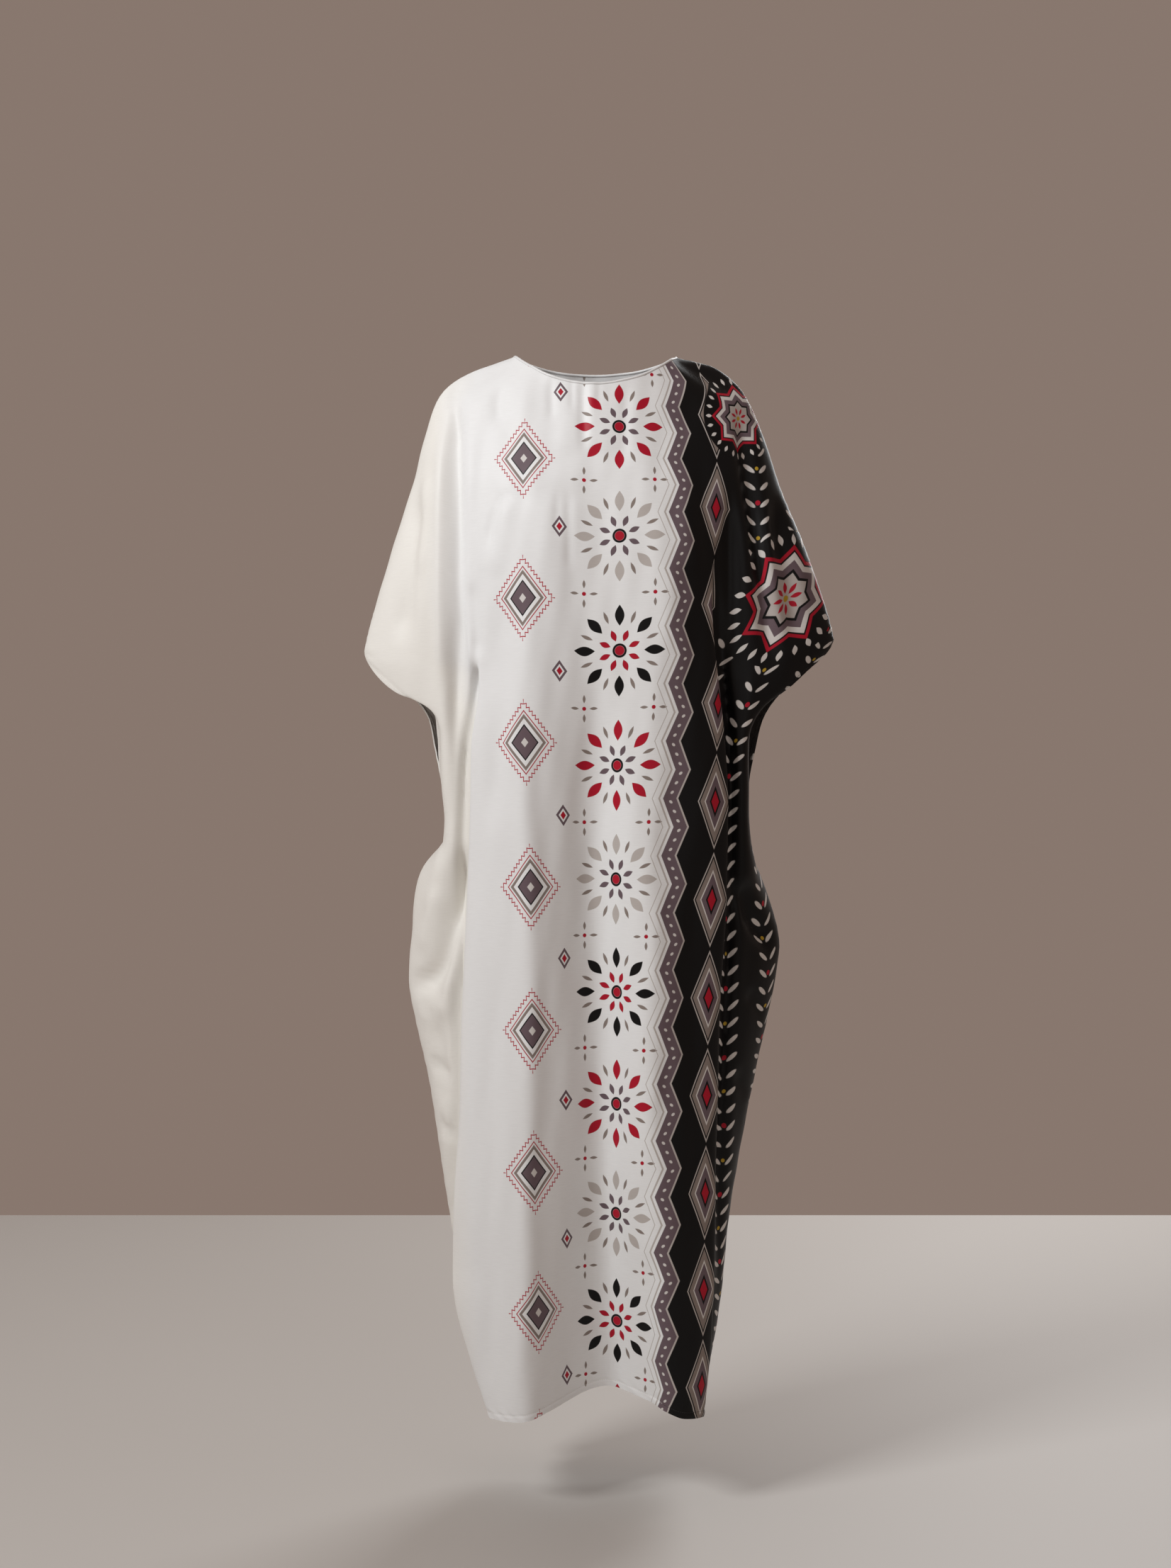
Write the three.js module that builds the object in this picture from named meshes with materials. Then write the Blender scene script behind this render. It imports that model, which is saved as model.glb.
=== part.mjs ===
// A full-length kaftan dress, worn and hollow: a front panel and a back panel, wide at the top and
// narrow at the hem, sewn along the shoulder and sleeve line and down both sides, with a bound boat
// neck. The wide upper corners hang as loose elbow sleeves. Millimetres, +Z up, front towards -Y,
// origin midway between the two neck points, where the shoulders carry the dress. Left and right
// are as seen from the front, so left is -X.
import * as THREE from "three";

// Cloth
const WALL = 1.2; // one layer with its fall and nap
const HEM_WALL = 2.2; // the cloth turned up along hem and cuffs
const HEM_TURN = 10; // height of that turning
const HEM_STEP = 2; // run over which the turning ends
const SEAM_HALF_GAP = 0.2; // each panel stops this far from the seam line

// Neck
const NECK_LEFT = -115; // neck points on the shoulder line
const NECK_RIGHT = 105;
const NECK_FRONT = { reach: -74, drop: 45 };
const NECK_BACK = { reach: 62, drop: 18 };
const NECK_SQUARENESS = 2.2; // how flat the boat neck runs before it turns up to the shoulder
const NECK_ROUNDNESS = 0.55;
const BINDING = { height: 3.6, thickness: 3.0, gap: 0.3, sides: 6 };

// Rows of the cloth grid from the neck down: to the sleeve corner, to the foot of the arm
// opening, and to the hem
const ROWS = { shoulder: 10, opening: 7, side: 16 };
// Columns between two neighbouring crease lines, from the side edge inwards
const STEPS = { edge: 4, flank: 4, tuck: 4, fold: 4, lobe: 4 };
const SLEEVE_FORWARD = -6; // the sleeve hangs a little forward, so its corner does too
const TROUGH_FADE = 3; // columns over which a trough dies out towards a side edge
const TROUGH_ENDS = 0.22; // share of its own length over which it rises at either end

// A table of rows with named columns
const table = (columns, ...rows) =>
  rows.map((row) => Object.fromEntries(columns.map((name, i) => [name, row[i]])));

// Top line of the shoulder and sleeve, from the neck point to the sleeve corner
const SHOULDER = {
  left: table(
    ["x", "z"],
    [NECK_LEFT, 0], [-167, -18], [-195, -33], [-213, -52], [-232, -104],
    [-247, -164], [-267, -226], [-289, -298], [-308, -364], [-314, -391],
  ),
  right: table(
    ["x", "z"],
    [NECK_RIGHT, 0], [156, -14], [184, -36], [200, -60], [222, -113],
    [243, -176], [272, -245], [298, -317], [310, -357], [314, -375],
  ),
};

// Free edge of the arm opening, from the sleeve corner round to its foot
const OPENING = {
  front: {
    left: table(
      ["x", "y", "z"],
      [-307, -18, -408], [-281, -40, -437], [-257, -53, -451], [-232, -58, -455],
      [-219, -52, -468], [-214, -42, -500], [-211, -32, -555], [-203, -16, -605],
    ),
    right: table(
      ["x", "y", "z"],
      [305, -18, -391], [275, -40, -418], [249, -53, -441], [222, -58, -459],
      [203, -52, -475], [197, -42, -505], [195, -32, -557], [191, -16, -603],
    ),
  },
  back: {
    left: table(
      ["x", "y", "z"],
      [-303, 22, -412], [-276, 46, -438], [-250, 60, -456], [-233, 64, -480],
      [-224, 58, -520], [-214, 42, -566], [-207, 20, -612],
    ),
    right: table(
      ["x", "y", "z"],
      [300, 22, -398], [272, 46, -424], [245, 60, -450], [226, 64, -478],
      [214, 58, -520], [204, 42, -566], [198, 20, -612],
    ),
  },
};

// Side seam, from the foot of the arm opening over the bulge to the hem
const SIDE = {
  left: table(
    ["x", "y", "z"],
    [-203, 2, -642], [-236, 6, -680], [-247, 8, -712], [-251, 9, -760], [-256, 10, -836],
    [-247, 10, -887], [-229, 8, -967], [-216, 6, -1050], [-201, 6, -1150], [-184, 4, -1250],
    [-160, 2, -1345], [-139, 0, -1402],
  ),
  right: table(
    ["x", "y", "z"],
    [194, 2, -642], [222, 5, -704], [241, 8, -766], [243, 10, -790], [235, 10, -845],
    [214, 8, -942], [194, 6, -1042], [176, 4, -1150], [165, 2, -1259], [150, 1, -1350],
    [139, 0, -1400],
  ),
};

// Three lines down each side of a panel, by height: the edge of the long body fold (x, y), the cloth
// tucked in behind it (tuckX, tuckY), and the flank that comes out again to the side (flankX, flankY).
// Above the fold the same lines run over the front of the shoulder and the sleeve.
const FOLD_COLUMNS = ["z", "x", "y", "tuckX", "tuckY", "flankX", "flankY"];
const FOLD = {
  front: {
    left: table(
      FOLD_COLUMNS,
      [-70, -134, -58, -168, -45, -200, -26], [-180, -150, -88, -190, -72, -228, -44],
      [-300, -152, -101, -196, -84, -250, -58], [-390, -150, -105, -176, -90, -226, -74],
      [-450, -156, -104, -150, -88, -204, -80], [-520, -167, -99, -130, -86, -194, -80],
      [-600, -170, -95, -120, -84, -192, -76], [-680, -172, -91, -116, -82, -194, -68],
      [-800, -177, -87, -114, -80, -200, -56], [-974, -182, -85, -122, -76, -198, -46],
      [-1116, -192, -77, -136, -72, -192, -36], [-1219, -195, -66, -144, -62, -180, -30],
      [-1340, -167, -72, -128, -62, -150, -30], [-1402, -146, -80, -112, -64, -132, -36],
    ),
    right: table(
      FOLD_COLUMNS,
      [-70, 124, -58, 158, -45, 188, -26], [-180, 140, -90, 176, -72, 218, -44],
      [-257, 143, -99, 158, -84, 232, -58], [-357, 147, -103, 134, -90, 222, -70],
      [-450, 156, -101, 118, -86, 196, -78], [-520, 164, -97, 112, -84, 186, -78],
      [-600, 168, -94, 108, -83, 186, -72], [-700, 166, -91, 106, -82, 190, -64],
      [-850, 159, -88, 104, -80, 186, -54], [-1000, 155, -87, 104, -78, 172, -46],
      [-1150, 152, -86, 106, -74, 158, -40], [-1290, 148, -83, 108, -66, 146, -36],
      [-1400, 138, -80, 106, -62, 130, -36],
    ),
  },
  back: {
    left: table(
      FOLD_COLUMNS,
      [-70, -132, 46, -166, 35, -198, 20], [-180, -152, 84, -192, 67, -230, 42],
      [-300, -156, 100, -202, 82, -256, 52], [-430, -152, 107, -182, 93, -232, 72],
      [-540, -158, 108, -148, 90, -204, 80], [-680, -166, 107, -134, 87, -192, 76],
      [-830, -172, 104, -132, 84, -194, 66], [-1000, -170, 100, -134, 80, -190, 58],
      [-1150, -166, 96, -134, 76, -176, 52], [-1290, -154, 92, -128, 70, -154, 44],
      [-1402, -136, 86, -114, 66, -132, 42],
    ),
    right: table(
      FOLD_COLUMNS,
      [-70, 122, 46, 156, 35, 186, 20], [-180, 146, 84, 186, 67, 222, 42],
      [-300, 152, 100, 190, 82, 250, 52], [-430, 150, 108, 160, 93, 218, 74],
      [-540, 158, 109, 136, 91, 192, 80], [-680, 164, 108, 126, 88, 184, 74],
      [-830, 162, 106, 122, 86, 184, 64], [-1000, 158, 102, 122, 82, 172, 56],
      [-1150, 154, 98, 120, 78, 160, 50], [-1290, 148, 93, 118, 70, 146, 44],
      [-1400, 134, 88, 110, 66, 130, 42],
    ),
  },
};

// The two rounded lobes of a panel beside its long folds, and the hollow between them, which
// deepens towards the hem
const LINE_COLUMNS = ["z", "x", "y"];
const LOBE = {
  front: {
    left: table(
      LINE_COLUMNS,
      [-120, -74, -90], [-200, -86, -116], [-270, -90, -127], [-400, -94, -134], [-700, -100, -135],
      [-1000, -100, -130], [-1250, -104, -119], [-1399, -98, -112],
    ),
    right: table(
      LINE_COLUMNS,
      [-120, 70, -90], [-200, 82, -116], [-270, 86, -127], [-400, 82, -134], [-700, 72, -135],
      [-1000, 74, -130], [-1250, 92, -120], [-1395, 108, -111],
    ),
  },
  back: {
    left: table(
      LINE_COLUMNS,
      [-110, -78, 82], [-200, -88, 104], [-320, -92, 112], [-500, -92, 116], [-700, -98, 122],
      [-1000, -96, 118], [-1400, -84, 108],
    ),
    right: table(
      LINE_COLUMNS,
      [-110, 72, 82], [-200, 84, 104], [-320, 88, 112], [-500, 86, 117], [-700, 84, 123],
      [-1000, 90, 119], [-1399, 96, 107],
    ),
  },
};
const HOLLOW = {
  front: table(
    LINE_COLUMNS,
    [-120, -4, -98], [-200, -6, -116], [-270, -8, -123], [-400, -12, -127], [-600, -8, -117],
    [-850, -2, -105], [-1050, 0, -90], [-1200, 4, -70], [-1371, 10, -42],
  ),
  back: table(
    LINE_COLUMNS,
    [-110, -4, 86], [-200, -4, 98], [-320, -2, 104], [-500, 2, 107], [-750, 8, 110],
    [-1050, 14, 104], [-1388, 18, 90],
  ),
};

// Soft troughs pressed into a panel between two points of the front or back view
const TROUGH_COLUMNS = ["x", "z", "toX", "toZ", "width", "depth"];
const TROUGHS = {
  front: table(
    TROUGH_COLUMNS,
    [-214, -80, -236, -400, 16, 5], [-186, -120, -196, -430, 15, 6], [190, -100, 226, -380, 16, 5],
    [-118, -300, -134, -640, 16, 4], [-14, -330, -2, -1400, 30, 12],
    [-196, -724, -244, -846, 13, 7], [-204, -930, -232, -968, 12, 4], [-196, -1020, -214, -1052, 12, 4],
    [118, -620, 126, -1160, 16, 4], [196, -740, 226, -900, 14, 5],
  ),
  back: table(
    TROUGH_COLUMNS,
    [-210, -90, -232, -400, 16, 5], [204, -90, 228, -390, 16, 5], [-124, -330, -134, -900, 18, 5],
    [-46, -420, -40, -1150, 20, 6], [52, -360, 50, -1000, 18, 5], [128, -420, 124, -1180, 18, 5],
    [-196, -730, -238, -850, 14, 6], [192, -730, 228, -850, 14, 6],
  ),
};

const SIDES = ["left", "right"];
const FACING = { front: -1, back: 1 }; // way that each panel looks along Y
const ROW_COUNT = ROWS.shoulder + ROWS.opening + ROWS.side;

// Crease lines from the side edge to the middle, each with its place along the neckline as a share
// of the half width
const NECK_SHARE = { flank: 0.96, tuck: 0.88, fold: 0.76, lobe: 0.5, hollow: 0 };
const liftAt = (share) => share ** NECK_SQUARENESS;

// Value of one column of a table at height z: a cubic that never overshoots its rows
function valueAt(rows, column, z) {
  const last = rows.length - 1;
  const held = THREE.MathUtils.clamp(z, rows[last].z, rows[0].z);
  const i = Math.min(rows.findIndex((row, k) => k === last || held >= rows[k + 1].z), last - 1);
  const secant = (k) => (rows[k + 1][column] - rows[k][column]) / (rows[k + 1].z - rows[k].z);
  const slope = (k) => {
    if (k === 0) return secant(0);
    if (k === last) return secant(last - 1);
    const [a, b] = [secant(k - 1), secant(k)];
    return a * b > 0 ? (2 * a * b) / (a + b) : 0;
  };
  const run = rows[i + 1].z - rows[i].z;
  const t = (held - rows[i].z) / run;
  return hermite(rows[i][column], rows[i + 1][column], slope(i) * run, slope(i + 1) * run, t);
}

function hermite(a, b, slopeA, slopeB, t) {
  const t2 = t * t;
  const t3 = t2 * t;
  return (
    a * (2 * t3 - 3 * t2 + 1) + b * (3 * t2 - 2 * t3) + slopeA * (t3 - 2 * t2 + t) + slopeB * (t3 - t2)
  );
}

// Neckline point at a share of the half width, 0 in the middle and 1 at the neck point
function neckPoint(face, side, share) {
  const neck = face === "front" ? NECK_FRONT : NECK_BACK;
  const top = SHOULDER[side][0];
  const middle = (NECK_LEFT + NECK_RIGHT) / 2;
  return new THREE.Vector3(
    middle + (top.x - middle) * share,
    neck.reach * (1 - liftAt(share)) ** NECK_ROUNDNESS,
    top.z - neck.drop * (1 - liftAt(share)),
  );
}

const smoothLine = (points) => new THREE.CatmullRomCurve3(points, false, "centripetal");

// Side edge of a panel: the shoulder line, then the arm opening, then the side seam
function edgeLines(face, side) {
  const shoulder = SHOULDER[side].map(({ x, z }, i, rows) => {
    const forward = (SLEEVE_FORWARD * i) / (rows.length - 1);
    return new THREE.Vector3(x, forward, z);
  });
  const seam = SIDE[side].map(({ x, y, z }) => new THREE.Vector3(x, y, z));
  const free = OPENING[face][side].map(({ x, y, z }) => new THREE.Vector3(x, y, z));
  return [
    smoothLine(shoulder),
    smoothLine([shoulder.at(-1), ...free, seam[0]]),
    smoothLine(seam),
  ];
}

function edgePoint(lines, row) {
  const { shoulder, opening, side } = ROWS;
  if (row <= shoulder) return lines[0].getPointAt(row / shoulder);
  if (row <= shoulder + opening) return lines[1].getPointAt((row - shoulder) / opening);
  return lines[2].getPointAt((row - shoulder - opening) / side);
}

// How far open the side is at a row: 0 at a seam and 1 half way down the arm opening
function openness(row) {
  const share = THREE.MathUtils.clamp((row - ROWS.shoulder) / ROWS.opening, 0, 1);
  return Math.sqrt(Math.sin(Math.PI * share));
}

// One crease line as a table by height, starting on the neckline
function creaseRows(face, side, name) {
  const start = neckPoint(face, side, NECK_SHARE[name]);
  const rows = {
    flank: () => FOLD[face][side].map(({ z, flankX, flankY }) => ({ z, x: flankX, y: flankY })),
    tuck: () => FOLD[face][side].map(({ z, tuckX, tuckY }) => ({ z, x: tuckX, y: tuckY })),
    fold: () => FOLD[face][side],
    lobe: () => LOBE[face][side],
    hollow: () => HOLLOW[face],
  }[name]();
  return [{ x: start.x, y: start.y, z: start.z }, ...rows];
}

// Share of the height that the side edge has come down at a row. Round the arm opening, where the
// edge itself runs level for a while, the share goes on evenly.
function fallShare(lines, row) {
  const height = (at) => edgePoint(lines, at).z;
  const fall = (at) => (height(0) - height(at)) / (height(0) - height(ROW_COUNT));
  if (sewn(row)) return fall(row);
  const [top, foot] = [fall(ROWS.shoulder), fall(ROWS.shoulder + ROWS.opening)];
  return THREE.MathUtils.lerp(top, foot, (row - ROWS.shoulder) / ROWS.opening);
}

// Point of a crease line at a row. Inner lines go down evenly and outer ones follow the side edge.
function creasePoint(rows, name, row, beside) {
  const [top, foot] = [rows[0].z, rows.at(-1).z];
  const share = THREE.MathUtils.lerp(row / ROW_COUNT, beside, liftAt(NECK_SHARE[name]));
  const z = top + (foot - top) * share;
  return new THREE.Vector3(valueAt(rows, "x", z), valueAt(rows, "y", z), z);
}

// The crease points of one half of a panel at one row, from the side edge to the hollow
function halfSection(face, side, row) {
  const lines = edgeLines(face, side);
  const beside = fallShare(lines, row);
  const inner = Object.keys(NECK_SHARE).map((name) =>
    creasePoint(creaseRows(face, side, name), name, row, beside),
  );
  return [edgePoint(lines, row), ...inner];
}

// Curve through the crease points of a row, sampled to the panel's columns. The two ghost points
// stand for the cloth that carries on beyond each side edge.
function sampleSection(keys, ghosts, steps) {
  const all = [ghosts[0], ...keys, ghosts[1]];
  const knots = [0];
  for (let i = 1; i < all.length; i++)
    knots.push(knots[i - 1] + Math.sqrt(all[i].distanceTo(all[i - 1])));
  const tangent = (i) => {
    const [before, after] = [knots[i] - knots[i - 1], knots[i + 1] - knots[i]];
    const back = all[i].clone().sub(all[i - 1]).divideScalar(before);
    const ahead = all[i + 1].clone().sub(all[i]).divideScalar(after);
    return back.multiplyScalar(after).add(ahead.multiplyScalar(before)).divideScalar(before + after);
  };
  const points = [];
  steps.forEach((count, span) => {
    const [i, j] = [span + 1, span + 2];
    const run = knots[j] - knots[i];
    const [a, b] = [tangent(i).multiplyScalar(run), tangent(j).multiplyScalar(run)];
    for (let k = points.length ? 1 : 0; k <= count; k++) {
      const at = (axis) => hermite(all[i][axis], all[j][axis], a[axis], b[axis], k / count);
      points.push(new THREE.Vector3(at("x"), at("y"), at("z")));
    }
  });
  return points;
}

// Rows of a panel, with two more close to the hem for its turning
function rowList() {
  const rows = Array.from({ length: ROW_COUNT }, (_, i) => i);
  const perMillimetre = ROWS.side / smoothLine(
    SIDE.left.map(({ x, y, z }) => new THREE.Vector3(x, y, z)),
  ).getLength();
  const turning = [HEM_TURN + HEM_STEP, HEM_TURN].map((up) => ROW_COUNT - up * perMillimetre);
  return [...rows, ...turning, ROW_COUNT];
}

// Outer face of a panel as rows of points, from its left edge to its right one
function outerGrid(face) {
  const other = face === "front" ? "back" : "front";
  const half = Object.values(STEPS);
  return rowList().map((row) => {
    const [left, right] = SIDES.map((side) => halfSection(face, side, row));
    const ghosts = SIDES.map((side, i) => {
      const own = [left, right][i];
      const beyond = halfSection(other, side, row)[1];
      const straight = own[0].clone().multiplyScalar(2).sub(own[1]);
      return beyond.lerp(straight, openness(row));
    });
    const keys = [...left, ...right.slice(0, -1).reverse()];
    return sampleSection(keys, ghosts, [...half, ...half.slice().reverse()]);
  });
}

// Depth of the soft troughs at a point: a bell across each line, rising softly from its ends
function troughDepth(face, point) {
  return TROUGHS[face].reduce((sum, { x, z, toX, toZ, width, depth }) => {
    const [dx, dz] = [toX - x, toZ - z];
    const along = ((point.x - x) * dx + (point.z - z) * dz) / (dx * dx + dz * dz);
    const swell = THREE.MathUtils.smoothstep(Math.min(along, 1 - along), 0, TROUGH_ENDS);
    const aside = Math.abs((point.x - x) * dz - (point.z - z) * dx) / Math.hypot(dx, dz);
    return sum + depth * swell * Math.exp(-((aside / width) ** 2));
  }, 0);
}

// Unit normal at each grid point, out of the dress, from the cells around it
function gridNormals(grid, outward) {
  const at = (i, j) =>
    grid[THREE.MathUtils.clamp(i, 0, grid.length - 1)][THREE.MathUtils.clamp(j, 0, grid[0].length - 1)];
  return grid.map((row, i) =>
    row.map((_, j) => {
      const across = at(i, j + 1).clone().sub(at(i, j - 1));
      const down = at(i + 1, j).clone().sub(at(i - 1, j));
      return across.cross(down).normalize().multiplyScalar(outward);
    }),
  );
}

// True where a row's side edge is sewn to the other panel
const sewn = (row) => row <= ROWS.shoulder || row >= ROWS.shoulder + ROWS.opening;

// Both outer faces and their normals. Along the seams the panels share one normal, and each is
// drawn back from the seam line by half the gap.
function panels() {
  const made = Object.fromEntries(
    Object.entries(FACING).map(([face, facing]) => {
      const grid = outerGrid(face);
      const flat = gridNormals(grid, facing);
      grid.forEach((row, i) =>
        row.forEach((point, j) => {
          const fade = Math.min(1, Math.min(j, row.length - 1 - j) / TROUGH_FADE);
          point.addScaledVector(flat[i][j], -fade * troughDepth(face, point));
        }),
      );
      return [face, { grid, normals: gridNormals(grid, facing) }];
    }),
  );
  const { front, back } = made;
  rowList().forEach((row, i) => {
    if (!sewn(row)) return;
    for (const j of [0, front.grid[0].length - 1]) {
      const beside = j === 0 ? 1 : j - 1;
      const run = front.grid[i][beside].clone().sub(back.grid[i][beside]).normalize();
      const shared = front.normals[i][j].clone().add(back.normals[i][j]).normalize();
      const apart = run.addScaledVector(shared, -run.dot(shared)).normalize();
      front.grid[i][j].addScaledVector(apart, SEAM_HALF_GAP);
      back.grid[i][j].addScaledVector(apart, -SEAM_HALF_GAP);
      front.normals[i][j].copy(shared);
      back.normals[i][j].copy(shared);
    }
  });
  return made;
}

// Cloth thickness at a grid point: doubled by the turning at the hem and along the arm opening
function wallAt(row, j, columns) {
  const atHem = row > ROW_COUNT - 1 && row >= rowList().at(-2);
  const atCuff = !sewn(row) && (j === 0 || j === columns - 1);
  return atHem || atCuff ? HEM_WALL : WALL;
}

// Closed wall between an outer grid and the same grid moved inwards
function wallGeometry({ grid, normals }, facing) {
  const rows = rowList();
  const columns = grid[0].length;
  const inner = grid.map((line, i) =>
    line.map((point, j) =>
      point.clone().addScaledVector(normals[i][j], -wallAt(rows[i], j, columns)),
    ),
  );
  const positions = [grid, inner].flatMap((layer) => layer.flat().flatMap((p) => p.toArray()));
  const layerSize = grid.length * columns;
  const outer = (i, j) => i * columns + j;
  const indices = [];
  const quad = (a, b, c, d) => {
    const corners = facing === -1 ? [a, b, c, a, c, d] : [a, c, b, a, d, c];
    indices.push(...corners);
  };
  for (let i = 0; i + 1 < grid.length; i++)
    for (let j = 0; j + 1 < columns; j++) {
      const cell = [outer(i, j), outer(i + 1, j), outer(i + 1, j + 1), outer(i, j + 1)];
      quad(...cell);
      quad(...cell.map((index) => index + layerSize).reverse());
    }
  const rim = (a, b) => quad(a, b, b + layerSize, a + layerSize);
  for (let j = 0; j + 1 < columns; j++) {
    rim(outer(0, j), outer(0, j + 1));
    rim(outer(grid.length - 1, j + 1), outer(grid.length - 1, j));
  }
  for (let i = 0; i + 1 < grid.length; i++) {
    rim(outer(i + 1, 0), outer(i, 0));
    rim(outer(i, columns - 1), outer(i + 1, columns - 1));
  }
  return geometryOf(positions, indices);
}

function geometryOf(positions, indices) {
  const geometry = new THREE.BufferGeometry();
  geometry.setAttribute("position", new THREE.Float32BufferAttribute(positions, 3));
  geometry.setIndex(indices);
  geometry.computeVertexNormals();
  return geometry;
}

// Neck binding: a rounded strip that stands on the neck edge of both panels, just clear of it
function bindingGeometry({ front, back }) {
  const neck = ({ grid, normals }) =>
    grid[0].map((point, j) => {
      const rise = point.clone().sub(grid[1][j]).normalize();
      return { base: point.clone().addScaledVector(normals[0][j], -WALL / 2), rise, out: normals[0][j] };
    });
  const ring = [...neck(front), ...neck(back).reverse().slice(1, -1)];
  const { height, thickness, gap, sides } = BINDING;
  const positions = ring.flatMap(({ base, rise, out }) =>
    Array.from({ length: sides }, (_, k) => {
      const turn = (2 * Math.PI * k) / sides;
      const up = gap + (height / 2) * (1 + Math.sin(turn));
      const aside = (thickness / 2) * Math.cos(turn);
      return base.clone().addScaledVector(rise, up).addScaledVector(out, aside).toArray();
    }).flat(),
  );
  const indices = [];
  ring.forEach((_, i) => {
    const next = (i + 1) % ring.length;
    for (let k = 0; k < sides; k++) {
      const turn = (k + 1) % sides;
      const [a, b, c, d] = [i * sides + k, next * sides + k, next * sides + turn, i * sides + turn];
      indices.push(a, b, c, a, c, d);
    }
  });
  return geometryOf(positions, indices);
}

// Cloth finishes
const printedSatin = new THREE.MeshStandardMaterial({ color: 0xeceae4, roughness: 0.55, metalness: 0 });
const whiteSatin = new THREE.MeshStandardMaterial({ color: 0xf2f0ea, roughness: 0.5, metalness: 0 });

function named(name, geometry, material) {
  const mesh = new THREE.Mesh(geometry, material);
  mesh.name = name;
  return mesh;
}

function kaftan() {
  const made = panels();
  const dress = new THREE.Group();
  dress.add(named("front_panel", wallGeometry(made.front, FACING.front), printedSatin));
  dress.add(named("back_panel", wallGeometry(made.back, FACING.back), printedSatin));
  dress.add(named("neck_binding", bindingGeometry(made), whiteSatin));
  return dress;
}

export default kaftan();
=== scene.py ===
"""A full-length kaftan dress of printed satin crepe, hollow and in the shape it has when worn."""

import math

import bpy
import numpy as np
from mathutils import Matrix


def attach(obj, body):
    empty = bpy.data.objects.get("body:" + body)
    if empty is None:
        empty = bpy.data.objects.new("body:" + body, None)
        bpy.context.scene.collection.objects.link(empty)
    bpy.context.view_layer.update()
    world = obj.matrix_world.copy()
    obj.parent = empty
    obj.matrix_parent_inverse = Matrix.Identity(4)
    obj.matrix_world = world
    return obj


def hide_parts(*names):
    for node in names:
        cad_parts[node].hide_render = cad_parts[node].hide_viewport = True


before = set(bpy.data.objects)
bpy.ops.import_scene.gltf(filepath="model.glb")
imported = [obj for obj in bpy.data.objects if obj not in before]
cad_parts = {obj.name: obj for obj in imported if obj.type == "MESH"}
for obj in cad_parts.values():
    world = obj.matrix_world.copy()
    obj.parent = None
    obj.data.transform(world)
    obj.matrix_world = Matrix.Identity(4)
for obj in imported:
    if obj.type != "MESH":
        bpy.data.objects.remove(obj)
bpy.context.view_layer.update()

# The view: a level-headed studio camera a little above the middle of the dress, 3.3 m in front of it.
# The lens is given as its focal length in photograph pixels, over the frame's long side.
FRAME_HEIGHT_PX = 2213
FOCAL_PX = 3446
SENSOR_MM = 36
CAMERA_PLACE = (-0.018, -3.273, -0.4635)
CAMERA_TILT = math.radians(1.84)

lens = bpy.data.cameras.new("camera")
lens.sensor_width = SENSOR_MM
lens.lens = SENSOR_MM * FOCAL_PX / FRAME_HEIGHT_PX
camera = bpy.data.objects.new("camera", lens)
camera.location = CAMERA_PLACE
camera.rotation_euler = (math.radians(90) - CAMERA_TILT, 0, 0)
bpy.context.collection.objects.link(camera)
bpy.context.scene.camera = camera


# The studio: a plain pale floor below the hem, a plain backdrop colour behind it, one large soft
# light from the upper left in front, a weaker one from the right and one behind.
FLOOR_BELOW = 1.52
FLOOR_WIDTH = 5.0
FLOOR_FRONT = -2.4
FLOOR_BACK = 1.76
FLOOR_COLOUR = (0.49, 0.46, 0.43, 1)
FLOOR_ROUGHNESS = 0.6
BACKDROP_COLOUR = (0.246, 0.186, 0.156, 1)
BACKDROP_STRENGTH = 1.0
LIGHT_COLOUR = (0.95, 0.98, 1.0)
LIGHTS = (
    # name, place, aim, width, height, watts
    ("key", (-2.05, -1.85, 1.5), (0, 0, -0.5), 1.0, 1.0, 76),
    ("fill", (1.2, -3.4, 0.6), (0, 0, -0.7), 1.6, 2.4, 10),
    ("back", (1.4, 2.8, 1.0), (0, 0, -0.6), 1.6, 2.4, 80),
)


def linear(hex_colour):
    """Scene-linear RGBA of a colour written as six hex digits."""
    share = [int(hex_colour[i : i + 2], 16) / 255 for i in (0, 2, 4)]
    return (*[c / 12.92 if c <= 0.04045 else ((c + 0.055) / 1.055) ** 2.4 for c in share], 1)


def studio():
    """Floor, backdrop and area lights. A light looks down its own -Z, which is turned towards its aim."""
    bpy.ops.mesh.primitive_plane_add(size=1, location=(0, (FLOOR_FRONT + FLOOR_BACK) / 2, -FLOOR_BELOW))
    floor = bpy.context.object
    floor.scale = (FLOOR_WIDTH, FLOOR_BACK - FLOOR_FRONT, 1)
    floor.name = "floor"
    paint = bpy.data.materials.new("floor")
    paint.use_nodes = True
    shader = paint.node_tree.nodes["Principled BSDF"]
    shader.inputs["Base Color"].default_value = FLOOR_COLOUR
    shader.inputs["Roughness"].default_value = FLOOR_ROUGHNESS
    floor.data.materials.append(paint)
    world = bpy.data.worlds.new("backdrop")
    world.use_nodes = True
    backdrop = world.node_tree.nodes["Background"]
    backdrop.inputs["Color"].default_value = BACKDROP_COLOUR
    backdrop.inputs["Strength"].default_value = BACKDROP_STRENGTH
    bpy.context.scene.world = world
    bpy.context.scene.view_settings.view_transform = "Standard"
    for name, place, aim, width, height, watts in LIGHTS:
        light = bpy.data.lights.new(name, "AREA")
        light.shape = "RECTANGLE"
        light.size = width
        light.size_y = height
        light.energy = watts
        light.color = LIGHT_COLOUR
        lamp = bpy.data.objects.new(name, light)
        lamp.location = place
        towards = np.subtract(aim, place)
        lamp.rotation_euler = (
            math.atan2(math.hypot(towards[0], towards[1]), -towards[2]),
            0,
            math.atan2(towards[1], towards[0]) - math.pi / 2,
        )
        bpy.context.collection.objects.link(lamp)


studio()


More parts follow.
